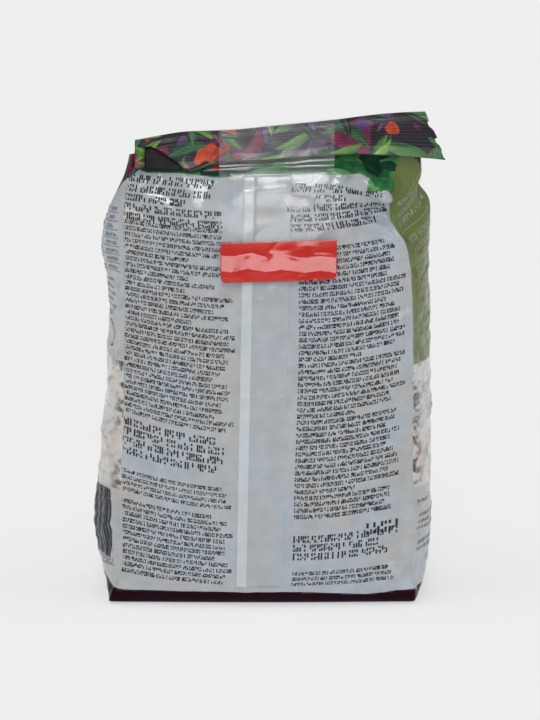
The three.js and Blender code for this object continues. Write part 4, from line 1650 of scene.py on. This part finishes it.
darkRight, paleRight = rightPrint()
darkPrint = makePrint("dark_print", np.concatenate([backPrint(), leftPrint(), darkRight, frontPrint()]))
darkPrint.data.materials.append(inkMaterial("dark_ink", (0.006, 0.008, 0.013), (0.016, 0.019, 0.026)))
palePrint = makePrint("pale_print", paleRight)
palePrint.data.materials.append(inkMaterial("pale_ink", (0.36, 0.39, 0.30), (0.50, 0.52, 0.44)))
for piece in (darkPrint, palePrint):
    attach(piece, "root")
print("print laid:", len(darkPrint.data.polygons), "dark and", len(palePrint.data.polygons), "pale marks")


# The studio: a pale floor that runs out of view, an even sky, a broad soft key and two small softboxes.
studio = {
    "floorSize": 14.0,
    "floorColour": (0.46, 0.46, 0.46),
    "floorGlow": 0.52,
    "sky": (0.86, 0.865, 0.87),
    "skyStrength": 0.40,
    "lamps": [  # broad distant lamps: strength, apparent size and where each shines from, in degrees
        {"name": "key", "azimuth": -30, "elevation": 74, "strength": 0.46, "size": 60},
        {"name": "leftFill", "azimuth": -80, "elevation": 32, "strength": 0.26, "size": 60},
        {"name": "rightFill", "azimuth": 78, "elevation": 30, "strength": 0.30, "size": 60},
        {"name": "frontBox", "azimuth": 2, "elevation": 19, "strength": 0.40, "size": 18},
        {"name": "highBox", "azimuth": -2, "elevation": 40, "strength": 0.56, "size": 14},
    ],
}


def makeFloor():
    half = studio["floorSize"] / 2
    mesh = bpy.data.meshes.new("floor")
    corners = [(-half, -half, -0.0002), (half, -half, -0.0002), (half, half, -0.0002), (-half, half, -0.0002)]
    mesh.from_pydata(corners, [], [(0, 1, 2, 3)])
    floor = bpy.data.objects.new("floor", mesh)
    bpy.context.scene.collection.objects.link(floor)
    material, tree, shader = newMaterial("floor_card", Roughness=0.9, Specular_IOR_Level=0.1)
    shader.inputs["Emission Color"].default_value = (1, 1, 1, 1)
    shader.inputs["Emission Strength"].default_value = studio["floorGlow"]
    low, high = np.array(studio["floorColour"]) * 0.995, np.array(studio["floorColour"]) * 1.005
    tones = [(0.4, tuple(low)), (0.6, tuple(high))]
    link(tree, rampOf(tree, noiseOf(tree, 60, 3), tones), shader, "Base Color")
    mesh.materials.append(material)


def makeLights():
    world = bpy.data.worlds.new("sky")
    world.use_nodes = True
    sky = world.node_tree.nodes["Background"]
    sky.inputs["Color"].default_value = rgba(studio["sky"])
    sky.inputs["Strength"].default_value = studio["skyStrength"]
    bpy.context.scene.world = world
    for lamp in studio["lamps"]:
        a, e = math.radians(lamp["azimuth"]), math.radians(lamp["elevation"])
        way = Vector((math.sin(a) * math.cos(e), -math.cos(a) * math.cos(e), math.sin(e)))
        light = bpy.data.lights.new(lamp["name"], "SUN")
        light.energy, light.angle = lamp["strength"], math.radians(lamp["size"])
        placed = bpy.data.objects.new(lamp["name"], light)
        placed.rotation_euler = way.to_track_quat("Z", "Y").to_euler()
        bpy.context.scene.collection.objects.link(placed)


# The camera, at the photograph's viewing angle.
view = {
    "target": (0.0, 0.0, 0.075),
    "elevation": 9.5,
    "distance": 1.1,
    "lens": 171.0,
    "sensor": 36.0,
    "shiftRight": 0.0028,
    "shiftUp": 0.001,
}


def makeCamera():
    data = bpy.data.cameras.new("camera")
    data.lens, data.sensor_width = view["lens"], view["sensor"]
    data.shift_x, data.shift_y = view["shiftRight"], view["shiftUp"]
    data.clip_start, data.clip_end = 0.05, 30
    camera = bpy.data.objects.new("camera", data)
    e = math.radians(view["elevation"])
    way = Vector((0, -math.cos(e), math.sin(e)))
    camera.location = Vector(view["target"]) + way * view["distance"]
    camera.rotation_euler = way.to_track_quat("Z", "Y").to_euler()
    bpy.context.scene.collection.objects.link(camera)
    bpy.context.scene.camera = camera


makeFloor()
makeLights()
makeCamera()
bpy.context.scene.view_settings.view_transform = "Standard"
print("floor, lights and camera set")
